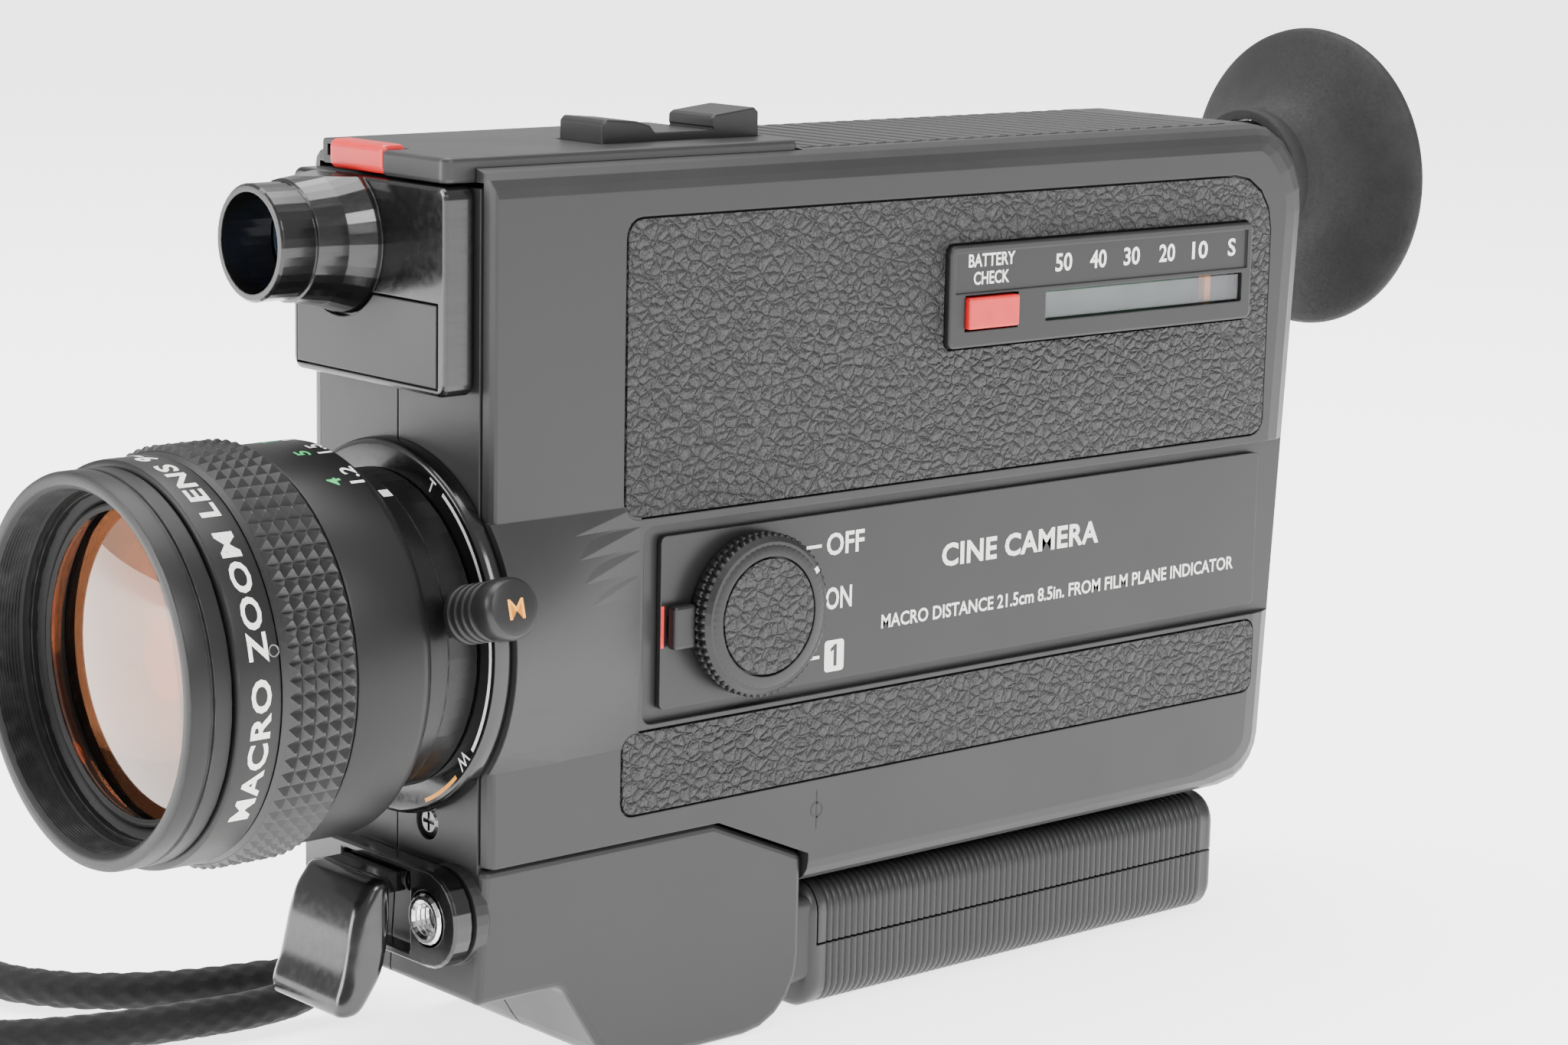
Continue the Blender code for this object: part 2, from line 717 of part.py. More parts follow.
def trigger_housing():
    x = (FAR_X + 5.0, SOCKET_X + 6.0)
    z = (-57.5, HOUSING_TOP - 0.6)
    corners = [(x[0], z[0], 2.0), (x[1], z[0], 6.0), (x[1], z[1], 6.0), (x[0], z[1], 2.0)]
    frame = prism("trigger_housing", rounded(corners, 6), "Y", BLOCK_FRONT, HOUSING_NOSE - 0.6)
    pocket = box("pocket", (TRIGGER_FAR - 1.0, TRIGGER_NEAR - 3.0), (0, 30), (z[0] + 1.0, z[1] - 0.9))
    socket = rod("socket", 3.6, (SOCKET_X, SOCKET_Z), "Y", 0, 30)
    pivot = (TRIGGER_PIVOT_Y, TRIGGER_PIVOT_Z)
    pin = rod("pin", 0.7 + PLAY, pivot, "X", TRIGGER_FAR - 2.5, TRIGGER_NEAR - 0.7, 16)
    frame = bevel(cut(frame, pocket), 0.3, 1, 50)
    return finish(cut(frame, socket, pin), GLOSS)


def trigger():
    """A curved paddle with an ear that turns on the pin near its top."""
    front = [(8.3, TRIGGER_TOP), (6.2, -47.5), (5.2, -51.0), (4.6, -55.0), (3.4, -59.0), (2.6, -61.4)]
    back = [(4.4, -62.4), (7.6, -61.2), (9.6, -57.5), (10.9, -53.0), (11.3, -49.5), (11.6, TRIGGER_TOP)]
    paddle = prism("trigger", front + back, "X", TRIGGER_FAR, TRIGGER_NEAR)
    paddle = bevel(paddle, 0.5, 2, 60)
    ear_x = (TRIGGER_FAR - 1.0 + GAP, TRIGGER_NEAR - 3.0 - GAP)
    ear = prism(
        "ear",
        rounded([(9.5, -49.3, 0), (17.6, -49.3, 1.2), (17.6, -46.2, 1.2), (9.5, -46.2, 0)], 3),
        "X",
        max(ear_x[0], TRIGGER_FAR + 0.4),
        ear_x[1],
    )
    hole = rod("hole", 0.7 + PLAY, (TRIGGER_PIVOT_Y, TRIGGER_PIVOT_Z), "X", -40, 10, 16)
    return finish(cut(join(paddle, ear), hole), GLOSS)


def trigger_pin():
    x = (TRIGGER_FAR - 2.2, TRIGGER_NEAR - 1.0)
    return finish(rod("trigger_pin", 0.7, (TRIGGER_PIVOT_Y, TRIGGER_PIVOT_Z), "X", *x, 16), STEEL)


def release_socket():
    """Cable release thread, cut as a row of grooves."""
    front = BLOCK_FRONT - 0.5
    profile = [(3.25, front + 0.4), (3.0, front), (2.5, front)]
    for k in range(4):
        profile.append((2.05, front + 0.3 + k * 0.7))
        profile.append((2.3, front + 0.65 + k * 0.7))
    profile.append((2.05, 18.2))
    profile.append((3.25, 18.2))
    return finish(turned("release_socket", profile, (SOCKET_X, SOCKET_Z), "Y", 20), STEEL)


def screw(name, place):
    head = turned(
        name,
        [
            (0, FRONT + 0.2),
            (1.4, FRONT + 0.2),
            (2.0, FRONT + 0.5),
            (2.0, FRONT + 0.9),
            (1.0, FRONT + 0.9),
            (1.0, 24.5),
            (0, 24.5),
        ],
        place,
        "Y",
        24,
    )
    x, z = place
    slot = box("slot", (x - 1.2, x + 1.2), (0, FRONT + 0.7), (z - 0.25, z + 0.25))
    cross = box("cross", (x - 0.25, x + 0.25), (0, FRONT + 0.7), (z - 1.2, z + 1.2))
    return finish(cut(head, slot, cross), STEEL)


# ---------------------------------------------------------------- top pieces

SLIDER_X = (-27.5, -16.3)
SLIDER_REAR = PLATE_FRONT + 3.6
SLIDER_TRAVEL = 5.0


def top_plate():
    x = (FAR_X + PLATE_INSET, -PLATE_INSET)
    plate = slab("top_plate", "Z", x, (PLATE_FRONT, PLATE_REAR), (PLATE_BOTTOM, PLATE_TOP), 1.2)
    plate = bevel(plate, 0.5, 2, 50)
    corner = box("corner", (FAR_LIMIT, SLIDER_X[1] + GAP), (0, SLIDER_REAR + GAP), (0, 60))
    groove = box("groove", (x[0] + 1, SLIDER_X[1] + GAP), (0, SLIDER_REAR + 3.4), (40.2, 41.6))
    slot_x = (ROCKER_FAR - GAP, ROCKER_NEAR + GAP)
    slot = box("slot", slot_x, (ROCKER_FRONT - 0.6, ROCKER_REAR + 0.6), (40.0, 60))
    middle = (ROCKER_FRONT + ROCKER_REAR) / 2
    through = box("through", slot_x, (middle - 4, middle + 4), (30, 60))
    pivot = rod("pivot", 0.6 + PLAY, (middle, ROCKER_PIVOT_Z), "X", ROCKER_FAR - 1.8, ROCKER_NEAR + 1.8, 16)
    return finish(cut(plate, corner, groove, slot, through, pivot), SATIN)


def filter_slider():
    height = (PLATE_BOTTOM + 0.1, PLATE_TOP + 0.6)
    body = slab("filter_slider", "X", (PLATE_FRONT, SLIDER_REAR), height, SLIDER_X, 0.9)
    body = bevel(body, 0.5, 2, 60)
    tongue_x = (SLIDER_X[0] + 2, SLIDER_X[1] - 2)
    tongue = box("tongue", tongue_x, (PLATE_FRONT + 1, SLIDER_REAR + 3.1), (40.5, 41.3))
    return finish(join(body, tongue), RED)


def zoom_rocker():
    base = 41.3
    y0, y1 = ROCKER_FRONT, ROCKER_REAR
    outline = [
        (y0, base),
        (y0, 44.7),
        (y0 + 0.6, 45.3),
        (y0 + 5.5, 44.9),
        (y0 + 7.6, 44.3),
        (y0 + 8.4, 43.4),
        (y1 - 7.6, 43.4),
        (y1 - 7.8, 43.8),
        (y1 - 7.8, 44.9),
        (y1 - 7.2, 45.3),
        (y1 - 0.7, 46.0),
        (y1, 45.4),
        (y1, base),
    ]
    rocker = prism("zoom_rocker", outline, "X", ROCKER_FAR, ROCKER_NEAR)
    rocker = bevel(rocker, 0.25, 2, 40)
    middle = (y0 + y1) / 2
    boss = box("boss", (ROCKER_FAR + 0.2, ROCKER_NEAR - 0.2), (middle - 2.5, middle + 2.5), (39.9, 42.0))
    pin = rod("pin", 0.6, (middle, ROCKER_PIVOT_Z), "X", ROCKER_FAR - 1.5, ROCKER_NEAR + 1.5, 16)
    return finish(join(rocker, boss, pin), SATIN)


def top_rear_panel():
    """Panel with fine ribs across it."""
    x = (FAR_X + PLATE_INSET + 1, -PLATE_INSET - 1)
    y = (PLATE_REAR + 1.2 + GAP, RIB_PANEL_REAR)
    outline = [(y[0], TOP - 0.8), (y[0], TOP)]
    pitch = 3.2
    count = int((y[1] - y[0] - 2) / pitch)
    for k in range(count):
        start = y[0] + 1.5 + k * pitch
        outline += [(start, TOP), (start + 0.3, TOP - 0.3), (start + 1.2, TOP - 0.3), (start + 1.5, TOP)]
    outline += [(y[1], TOP), (y[1], TOP - 0.8)]
    return finish(prism("top_rear_panel", outline, "X", *x), SATIN, False)


# ---------------------------------------------------------------- eyepiece


def eyepiece_barrel():
    front = EYE_END - 19.0
    profile = [(7.2, front), (EYE_R, front), (EYE_R, EYE_END - 0.3)]
    profile += [(EYE_R - 0.3, EYE_END), (7.2, EYE_END)]
    return finish(turned("eyepiece_barrel", profile, (FINDER_X, EYE_Z), "Y", 40), LENS_BLACK)


def eyepiece_lens():
    front = EYE_END - 5.0
    profile = [(0, front), (6.9, front + 0.6), (6.9, front + 2.6), (0, front + 3.6)]
    return finish(turned("eyepiece_lens", profile, (FINDER_X, EYE_Z), "Y", 32), GLASS)


def eyecup():
    neck = EYE_R + GAP
    end = EYECUP_END
    profile = [
        (neck, end - 15.4),
        (neck + 1.4, end - 15.4),
        (neck + 1.4, end - 10.4),
        (neck + 2.6, end - 7.4),
        (neck + 6.5, end - 4.6),
        (EYECUP_R - 0.6, end - 2.2),
        (EYECUP_R, end - 1.4),
        (EYECUP_R, end - 0.4),
        (EYECUP_R - 0.8, end),
        (EYECUP_R - 1.6, end - 0.7),
        (neck + 6.0, end - 3.3),
        (neck + 1.6, end - 6.2),
        (neck, end - 9.4),
    ]
    return finish(turned("eyecup", profile, (FINDER_X, EYE_Z), "Y", 40), RUBBER)


# ---------------------------------------------------------------- control side


def upper_leather():
    panel = prism("upper_leather", panel_outline(LEATHER_Y, LEATHER_Z, 2.2, 0.0, 8.0), "X", -SKIN, 0.1)
    meter_y = (METER_Y[0] - GAP, METER_Y[1] + GAP)
    meter = slab("m", "X", meter_y, (METER_Z[0] - GAP, METER_Z[1] + GAP), (-5, 5), 1.3)
    return finish(cut(panel, meter), LEATHER)


def lower_leather():
    return finish(prism("lower_leather", panel_outline(LEATHER_Y, STRIP_Z, 1.7), "X", -SKIN, 0.1), LEATHER)


def counter_plate():
    plate = slab("counter_plate", "X", METER_Y, METER_Z, (-SKIN, 0.9), 1.0)
    plate = bevel(plate, 0.3, 2, 60)
    window = slab("w", "X", WINDOW_Y, WINDOW_Z, (-5, 5), 0.3)
    button = box("b", (-5, 5), BUTTON_Y, BUTTON_Z)
    label = box("l", (0.6, 5), (METER_Y[0] + 1.0, METER_Y[1] - 1.0), (WINDOW_Z[1] + 0.6, METER_Z[1] - 1.0))
    return finish(cut(plate, window, button, label), SATIN)


def counter_window():
    y = (WINDOW_Y[0] + GAP, WINDOW_Y[1] - GAP)
    z = (WINDOW_Z[0] + GAP, WINDOW_Z[1] - GAP)
    return finish(box("counter_window", (-0.4, 0.4), y, z), CLEAR, False)


POINTER_Y = METER_REAR - 7.4
POINTER_RANGE = (-2.6, 32.0)


def counter_pointer():
    z = (WINDOW_Z[0] + GAP, WINDOW_Z[1] - GAP)
    bar = box("counter_pointer", (-1.9, -0.7), (POINTER_Y - 0.6, POINTER_Y + 0.6), z)
    return finish(bar, ORANGE, False)


BUTTON_TRAVEL = 1.0


def battery_check_button():
    y = (BUTTON_Y[0] + GAP, BUTTON_Y[1] - GAP)
    z = (BUTTON_Z[0] + GAP, BUTTON_Z[1] - GAP)
    key = slab("battery_check_button", "X", y, z, (-WALL - 1.0, 1.6), 0.3, 2)
    key = bevel(key, 0.3, 2, 60)
    flange = box("flange", (-WALL - 1.4, -WALL - 0.5), (y[0] - 1, y[1] + 1), (z[0] - 1, z[1] + 1))
    return finish(join(key, flange), RED)


def control_plate():
    y = (CONTROL_FRONT, LEATHER_REAR)
    plate = slab("control_plate", "X", y, (CONTROL_BOTTOM, CONTROL_TOP), (-BAND_DEPTH + GAP, -0.2), 0.8, 3)
    stem = rod("stem", 2.0 + PLAY, (DIAL_Y, DIAL_Z), "X", -5, 5)
    slot_y = (TAB_Y[0] + 1.6 - TAB_TRAVEL - GAP, TAB_Y[0] + 2.4 + GAP)
    slot = box("slot", (-0.65, 5), slot_y, (TAB_Z[0] + 1.4, TAB_Z[1] - 1.4))
    return finish(cut(plate, stem, slot), SATIN)


def mode_dial():
    profile = [
        (0, -WALL - 2.2),
        (3.2, -WALL - 2.2),
        (3.2, -WALL - GAP),
        (2.0, -WALL - GAP),
        (2.0, 0.1),
        (DIAL_R, 0.1),
        (DIAL_R, 2.9),
        (DIAL_R - 0.6, 3.5),
        (INLAY_R + 0.3, 3.5),
        (INLAY_R + 0.3, 2.7),
        (0, 2.7),
    ]
    return finish(turned("mode_dial", profile, (DIAL_Y, DIAL_Z), "X", 40), SATIN)


def dial_inlay():
    return finish(rod("dial_inlay", INLAY_R, (DIAL_Y, DIAL_Z), "X", 3.0, 3.6, 40), LEATHER)


def dial_lock_tab():
    tab = box("dial_lock_tab", (0.1, 1.7), TAB_Y, TAB_Z)
    tab = bevel(tab, 0.4, 2, 60)
    foot = box("foot", (-0.4, 0.8), (TAB_Y[0] + 1.6, TAB_Y[0] + 2.4), (TAB_Z[0] + 1.7, TAB_Z[1] - 1.7))
    return finish(join(tab, foot), SATIN)


# ---------------------------------------------------------------- lens

LENS = (MIDDLE, LENS_Z)


def lens_base_ring():
    inner = LENS_MOUNT_R + PLAY
    profile = [
        (inner, FRONT - GAP),
        (FLANGE_R, FRONT - GAP),
        (FLANGE_R, FRONT - 1.0),
        (FLANGE_R - 0.8, ZOOM_REAR + GAP),
        (inner, ZOOM_REAR + GAP),
    ]
    return finish(turned("lens_base_ring", list(reversed(profile)), LENS, "Y", 48), GLOSS)


def lens_barrel():
    profile = [
        (BARREL_R - 2.5, -10.8),
        (BARREL_R, -10.8),
        (BARREL_R, INDEX_REAR),
        (LENS_MOUNT_R, INDEX_REAR),
        (LENS_MOUNT_R, FRONT + WALL + 0.4),
        (LENS_MOUNT_R - 0.8, FRONT + WALL + 0.4),
        (LENS_MOUNT_R - 0.8, 62.0),
        (9.0, 62.0),
        (9.0, 30.0),
        (12.0, 26.0),
        (12.0, 9.0),
        (BARREL_R - 2.5, 5.0),
    ]
    return finish(turned("lens_barrel", profile, LENS, "Y", 40), LENS_BLACK)


def zoom_ring():
    inner = LENS_MOUNT_R + PLAY
    front = INDEX_REAR + GAP
    profile = [(inner, front), (20.0, front), (20.0, ZOOM_REAR), (inner, ZOOM_REAR)]
    ring = turned("zoom_ring", profile, LENS, "Y", 48)
    stem = rod("stem", 1.3, ((front + ZOOM_REAR) / 2, 0), "X", 19.0, KNOB_START + 3, 20)
    stem.data.transform(lever_place())
    return finish(join(ring, stem), LENS_BLACK)


def lever_place():
    turn = Matrix.Rotation(math.radians(-LEVER_ANGLE), 4, "Y")
    return Matrix.Translation(Vector((MIDDLE, 0, LENS_Z)) * MM) @ turn


def zoom_knob():
    centre = (INDEX_REAR + GAP + ZOOM_REAR) / 2 - 1.1
    profile = [
        (0, KNOB_START + 4),
        (1.6, KNOB_START + 4),
        (1.6, KNOB_START),
        (2.8, KNOB_START),
        (KNOB_R - 0.4, KNOB_START + 0.6),
    ]
    for k in range(3):
        start = KNOB_START + 1.6 + k * 1.9
        profile += [(KNOB_R, start), (KNOB_R, start + 1.1), (KNOB_R - 0.4, start + 1.5)]
    profile += [(KNOB_R, KNOB_END - 2.8), (KNOB_R, KNOB_END - 0.5)]
    profile += [(KNOB_R - 0.5, KNOB_END), (0, KNOB_END)]
    knob = turned("zoom_knob", profile, (centre, 0), "X", 24)
    stem_y = (INDEX_REAR + GAP + ZOOM_REAR) / 2
    widen = rod("widen", 1.6, (stem_y, 0), "X", KNOB_START - 1, KNOB_START + 3.6, 20)
    knob = cut(knob, widen)
    knob.data.transform(lever_place())
    return finish(knob, SATIN)


def focus_ring():
    inner = BARREL_R + PLAY
    profile = [
        (inner, FOCUS_FRONT),
        (FOCUS_R - 0.4, FOCUS_FRONT),
        (FOCUS_R, FOCUS_FRONT + 0.4),
        (FOCUS_R, KNURL_FRONT),
        (KNURL_R, KNURL_FRONT + 0.2),
        (KNURL_R, KNURL_REAR - 0.2),
        (FOCUS_R, KNURL_REAR),
        (FOCUS_R, FOCUS_REAR - 1.4),
        (FOCUS_R - 1.2, FOCUS_REAR),
        (inner, FOCUS_REAR),
    ]
    return finish(turned("focus_ring", profile, LENS, "Y", 48), LENS_BLACK)


def filter_ring():
    front = FILTER_FRONT
    profile = [
        (21.6, front + 0.3),
        (22.2, front),
        (FILTER_R - 0.5, front),
        (FILTER_R, front + 0.5),
        (FILTER_R, FOCUS_FRONT - GAP),
        (BARREL_R, FOCUS_FRONT - GAP),
        (BARREL_R, -11.8),
        (GLASS_R + GAP, -11.8),
        (GLASS_R + GAP, front + 6.6),
        (20.2, front + 5.4),
        (21.6, front + 5.2),
    ]
    return finish(turned("filter_ring", profile, LENS, "Y", 48), LENS_BLACK)


def front_element():
    """Front glass: domed outside, flat behind, with a short cylindrical rim."""
    face = FILTER_FRONT + 7.0
    depth = 2.4
    steps = 7
    profile = [(0, face - depth)]
    for k in range(1, steps + 1):
        share = k / steps
        profile.append((GLASS_R * share, face - depth * (1 - share * share)))
    profile += [(GLASS_R, -12.2), (0, -12.2)]
    return finish(turned("front_element", profile, LENS, "Y", 40), GLASS)


def rear_element():
    profile = [(0, 51.0), (6.0, 51.6), (8.7, 53.0), (8.7, 56.5), (0, 57.5)]
    return finish(turned("rear_element", profile, LENS, "Y", 32), GLASS)


# ---------------------------------------------------------------- film side


def film_chamber():
    x = (FAR_X + WALL + 2.0, FAR_X + WALL + CHAMBER_DEPTH + CHAMBER_WALL)
    y = (CHAMBER_FRONT, CHAMBER_REAR)
    z = (CHAMBER_BOTTOM, CHAMBER_TOP)
    wall = CHAMBER_WALL
    tray = box("film_chamber", x, y, z)
    space = box("space", (x[0] - 5, x[1] - wall), (y[0] + wall, y[1] - wall), (z[0] + wall, z[1] - wall))
    gate = box("gate", (MIDDLE - 3.2, MIDDLE + 3.2), (y[0] - 5, y[0] + 5), (LENS_Z - 2.4, LENS_Z + 2.4))
    spindle = rod("spindle", 2.2 + PLAY, (SPINDLE_Y, SPINDLE_Z), "X", x[1] - 5, x[1] + 5)
    return finish(cut(tray, space, gate, spindle), SATIN, False)


def gate_plate():
    y = (CHAMBER_FRONT - 1.3, CHAMBER_FRONT - GAP)
    plate = slab("gate_plate", "Y", (MIDDLE - 8, MIDDLE + 8), (LENS_Z - 11, LENS_Z + 11), y, 1.0)
    window = box("aperture", (MIDDLE - 2.9, MIDDLE + 2.9), (60, 80), (LENS_Z - 2.1, LENS_Z + 2.1))
    claw = box("claw_slot", (MIDDLE + 4.4, MIDDLE + 5.4), (60, 80), (LENS_Z - 9, LENS_Z - 3))
    return finish(cut(plate, window, claw), STEEL)


def film_door():
    door = prism("film_door", panel_outline(DOOR_Y, DOOR_Z, 2.7), "X", FAR_X, FAR_X + DOOR_THICK)
    window = slab("window", "X", (84, 110), (-2, 12), (FAR_LIMIT, 0), 1.5)
    latch = rod("latch", 2.0 + PLAY, (LATCH_Y, LATCH_Z), "X", FAR_LIMIT, 0)
    door = cut(door, window, latch)
    leaf = box("leaf", (HINGE_X, FAR_X - GAP), (HINGE_Y, DOOR_Y[0] + 2.5), KNUCKLES[1])
    root = box("root", (HINGE_X + 0.5, FAR_X + 0.6), (DOOR_Y[0] + 0.3, DOOR_Y[0] + 2.3), KNUCKLES[1])
    door = join(door, leaf, root, knuckle("k", KNUCKLES[1]))
    return finish(cut(door, rod("pin", HINGE_PIN_R + PLAY, (HINGE_X, HINGE_Y), "Z", -60, 30, 16)), SATIN)


def film_window():
    y = (84 + GAP, 110 - GAP)
    z = (-2 + GAP, 12 - GAP)
    pane = slab("film_window", "X", y, z, (FAR_X + 0.4, FAR_X + 1.5), 1.2)
    return finish(pane, CLEAR)


def door_hinge_pin():
    z = (KNUCKLES[0][0] + 0.3, KNUCKLES[2][1] - 0.3)
    return finish(rod("door_hinge_pin", HINGE_PIN_R, (HINGE_X, HINGE_Y), "Z", *z, 16), STEEL)


def door_latch():
    """A round knob with a finger bar outside and a bolt inside, drawn with the bolt clear of the cover."""
    knob_x = FAR_X - GAP
    knob = rod("door_latch", 7.0, (LATCH_Y, LATCH_Z), "X", knob_x - 1.2, knob_x, 40)
    bar_y = (LATCH_Y - 1.2, LATCH_Y + 1.2)
    bar_z = (LATCH_Z - 6.0, LATCH_Z + 6.0)
    bar = slab("bar", "X", bar_y, bar_z, (knob_x - 2.6, knob_x - 0.6), 1.0)
    inside = FAR_X + DOOR_THICK + 2 * GAP
    shaft = rod("shaft", 2.0, (LATCH_Y, LATCH_Z), "X", knob_x - 0.6, inside + 0.8, 24)
    bolt_y = (LATCH_Y - 1.5, LATCH_Y + 1.5)
    bolt_z = (LATCH_Z - 2.5, LATCH_Z + CHAMBER_REAR + 2.0 - LATCH_Y)
    bolt = box("bolt", (inside, inside + 0.7), bolt_y, bolt_z)
    return finish(join(knob, bar, shaft, bolt), SATIN)


# ---------------------------------------------------------------- drive


def gear(name, teeth, centre, low, high, bore=0.0):
    """A spur gear about X whose teeth narrow to leave backlash."""
    pitch_r = TOOTH * teeth / 2
    outline = []
    step = 2 * math.pi / teeth
    shape = (
        (-0.28, pitch_r - 1.05 * TOOTH),
        (-0.09, pitch_r + 0.8 * TOOTH),
        (0.09, pitch_r + 0.8 * TOOTH),
        (0.28, pitch_r - 1.05 * TOOTH),
    )
    for k in range(teeth):
        for part, radius in shape:
            angle = step * (k + part)
            outline.append((centre[0] + radius * math.cos(angle), centre[1] + radius * math.sin(angle)))
    made = prism(name, outline, "X", low, high)
    if bore:
        made = cut(made, rod("bore", bore, centre, "X", low - 2, high + 2, 24))
    return made


def turn_about(piece, centre, degrees):
    """Turns a gear about its own X axis, to bring it into mesh."""
    place = Vector((0, centre[0], centre[1])) * MM
    turn = Matrix.Rotation(math.radians(degrees), 4, "X")
    piece.data.transform(Matrix.Translation(place) @ turn @ Matrix.Translation(-place))
    return piece


GEAR_X = (-6.6, -4.6)
MOTOR = (MOTOR_Y, MOTOR_Z)
SPINDLE = (SPINDLE_Y, SPINDLE_Z)
MOTOR_REACH = TOOTH * (PINION_TEETH + IDLER_TEETH) / 2
SPINDLE_REACH = TOOTH * (IDLER_TEETH + SPINDLE_TEETH) / 2


def idler_centre():
    """Where the idler meshes with both the motor's pinion and the spindle's gear."""
    away = Vector((SPINDLE_Y - MOTOR_Y, SPINDLE_Z - MOTOR_Z))
    distance = away.length
    along = (MOTOR_REACH**2 - SPINDLE_REACH**2 + distance**2) / (2 * distance)
    side = math.sqrt(MOTOR_REACH**2 - along**2)
    unit = away.normalized()
    middle = Vector(MOTOR) + unit * along
    return (middle.x - unit.y * side, middle.y + unit.x * side)


IDLER = idler_centre()


def direction(start, end):
    return math.degrees(math.atan2(end[1] - start[1], end[0] - start[0]))


def motor():
    can = turned(
        "motor",
        [(0, FAR_X + 4.0), (MOTOR_R, FAR_X + 4.0), (MOTOR_R, -9.0), (2.5, -9.0), (2.5, -7.0), (0, -7.0)],
        MOTOR,
        "X",
        36,
    )
    return finish(can, STEEL)


def motor_pinion():
    pinion = gear("motor_pinion", PINION_TEETH, MOTOR, *GEAR_X)
    pinion = turn_about(pinion, MOTOR, direction(MOTOR, IDLER))
    return finish(pinion, BRASS, False)


def idler_gear():
    wheel = gear("idler_gear", IDLER_TEETH, IDLER, *GEAR_X)
    half_tooth = 180.0 / IDLER_TEETH
    wheel = turn_about(wheel, IDLER, direction(IDLER, MOTOR) + half_tooth)
    boss = rod("boss", 2.0, IDLER, "X", -9.4, -2.9, 24)
    return finish(join(wheel, boss), BRASS, False)


def spindle_phase():
    """Angle that brings the spindle's gear into mesh with the idler."""
    half_tooth = 180.0 / IDLER_TEETH
    idler_turn = direction(IDLER, MOTOR) + half_tooth
    contact = direction(IDLER, SPINDLE)
    step = 360.0 / IDLER_TEETH
    offset = (contact - idler_turn) / step
    offset -= math.floor(offset)
    back = direction(SPINDLE, IDLER)
    return back + (0.5 + offset) * 360.0 / SPINDLE_TEETH


def take_up_spindle():
    """Gear, shaft through the chamber's floor, and a three-vaned core for the cartridge."""
    wheel = turn_about(gear("take_up_spindle", SPINDLE_TEETH, SPINDLE, *GEAR_X), SPINDLE, spindle_phase())
    floor = FAR_X + WALL + CHAMBER_DEPTH
    shaft = rod("shaft", 2.2, SPINDLE, "X", floor - 6.0, -2.9, 24)
    vanes = [shaft]
    vane_y = (SPINDLE_Y, SPINDLE_Y + 3.6)
    vane_z = (SPINDLE_Z - 0.5, SPINDLE_Z + 0.5)
    for k in range(3):
        vane = box("vane", (floor - 5.5, floor - 0.5), vane_y, vane_z)
        vanes.append(turn_about(vane, SPINDLE, 120.0 * k))
    return finish(join(wheel, *vanes), WHITE, False)


def shutter():
    """Half-open disc on a shaft along Y, between the lens and the gate."""
    centre = (MIDDLE, LENS_Z + SHUTTER_UP)
    outline = [(centre[0], centre[1])]
    for k in range(15):
        angle = math.radians(-200 + k * 205 / 14)
        outline.append((centre[0] + SHUTTER_R * math.cos(angle), centre[1] + SHUTTER_R * math.sin(angle)))
    blade = prism("shutter", outline, "Y", 67.2, 67.8)
    hub = rod("hub", 3.0, centre, "Y", 65.6, 69.4, 24)
    return finish(join(blade, hub), STEEL)


def circuit_board():
    """Board behind the counter, clear of the pressed battery check button."""
    near = -WALL - 1.4 - BUTTON_TRAVEL - 2 * GAP
    return finish(box("circuit_board", (near - 1.3, near), (96, 156), (6.0, 34.0)), GREEN, False)


# ---------------------------------------------------------------- grip

GRIP_X = (FAR_X + GRIP_INSET, -GRIP_INSET)
GRIP_Y = (HUB_Y + GRIP_START, HUB_Y + GRIP_START + GRIP_LENGTH)
GRIP_Z = (GRIP_TOP - GRIP_THICK, GRIP_TOP)
CELL_Z = (GRIP_Z[0] + GRIP_Z[1]) / 2
CELL_X = (MIDDLE - CELL_R - 0.2, MIDDLE + CELL_R + 0.2)
CELL_Y = (GRIP_Y[0] + 22.0, GRIP_Y[0] + 22.0 + CELL_LENGTH)
COVER_START = GRIP_Y[0] + 2.0


def grip_shell(hollow_front):
    """The grip's whole block, hollow from hollow_front to its rear wall."""
    outer = slab("grip_shell", "Y", GRIP_X, GRIP_Z, GRIP_Y, GRIP_EDGE_R, 5)
    outer = bevel(outer, 1.0, 2, 60)
    wall = GRIP_WALL
    inner = slab(
        "inner",
        "Y",
        (GRIP_X[0] + wall, GRIP_X[1] - wall),
        (GRIP_Z[0] + wall, GRIP_Z[1] - wall),
        (hollow_front, GRIP_Y[1] - wall),
        GRIP_EDGE_R - wall,
        5,
    )
    return cut(outer, inner)


def grip_body():
    body = grip_shell(GRIP_Y[0] + 18.0)
    upper = box("upper", (FAR_LIMIT, 20), (COVER_START - GAP, 250), (GRIP_SPLIT - GAP / 2, 0))
    body = cut(body, upper)
    inset = EAR_X[1] - GAP
    neck_x = (EAR_X[0] + GAP, inset)
    neck = box("neck", neck_x, (HUB_Y, GRIP_Y[0] + 1.0), (GRIP_Z[0] + 4.0, GRIP_TOP - 1.5))
    hub = rod("hub", HUB_R, (HUB_Y, HUB_Z), "X", *neck_x, 40)
    body = join(body, neck, hub)
    body = cut(body, rod("pin_hole", HUB_PIN_R + PLAY, (HUB_Y, HUB_Z), "X", -60, 20))
    return finish(body, SATIN, name="grip_body")


def battery_cover():
    lower = box("lower", (FAR_LIMIT, 20), (0, 250), (-90, GRIP_SPLIT + GAP / 2))
    front = box("front", (FAR_LIMIT, 20), (0, COVER_START), (-90, 0))
    shell = grip_shell(COVER_START - 1.0)
    return finish(cut(shell, lower, front), SATIN, name="battery_cover")


def grip_pin():
    return finish(rod("grip_pin", HUB_PIN_R, (HUB_Y, HUB_Z), "X", EAR_X[0] - 0.9, EAR_X[1] + 0.9, 24), STEEL)


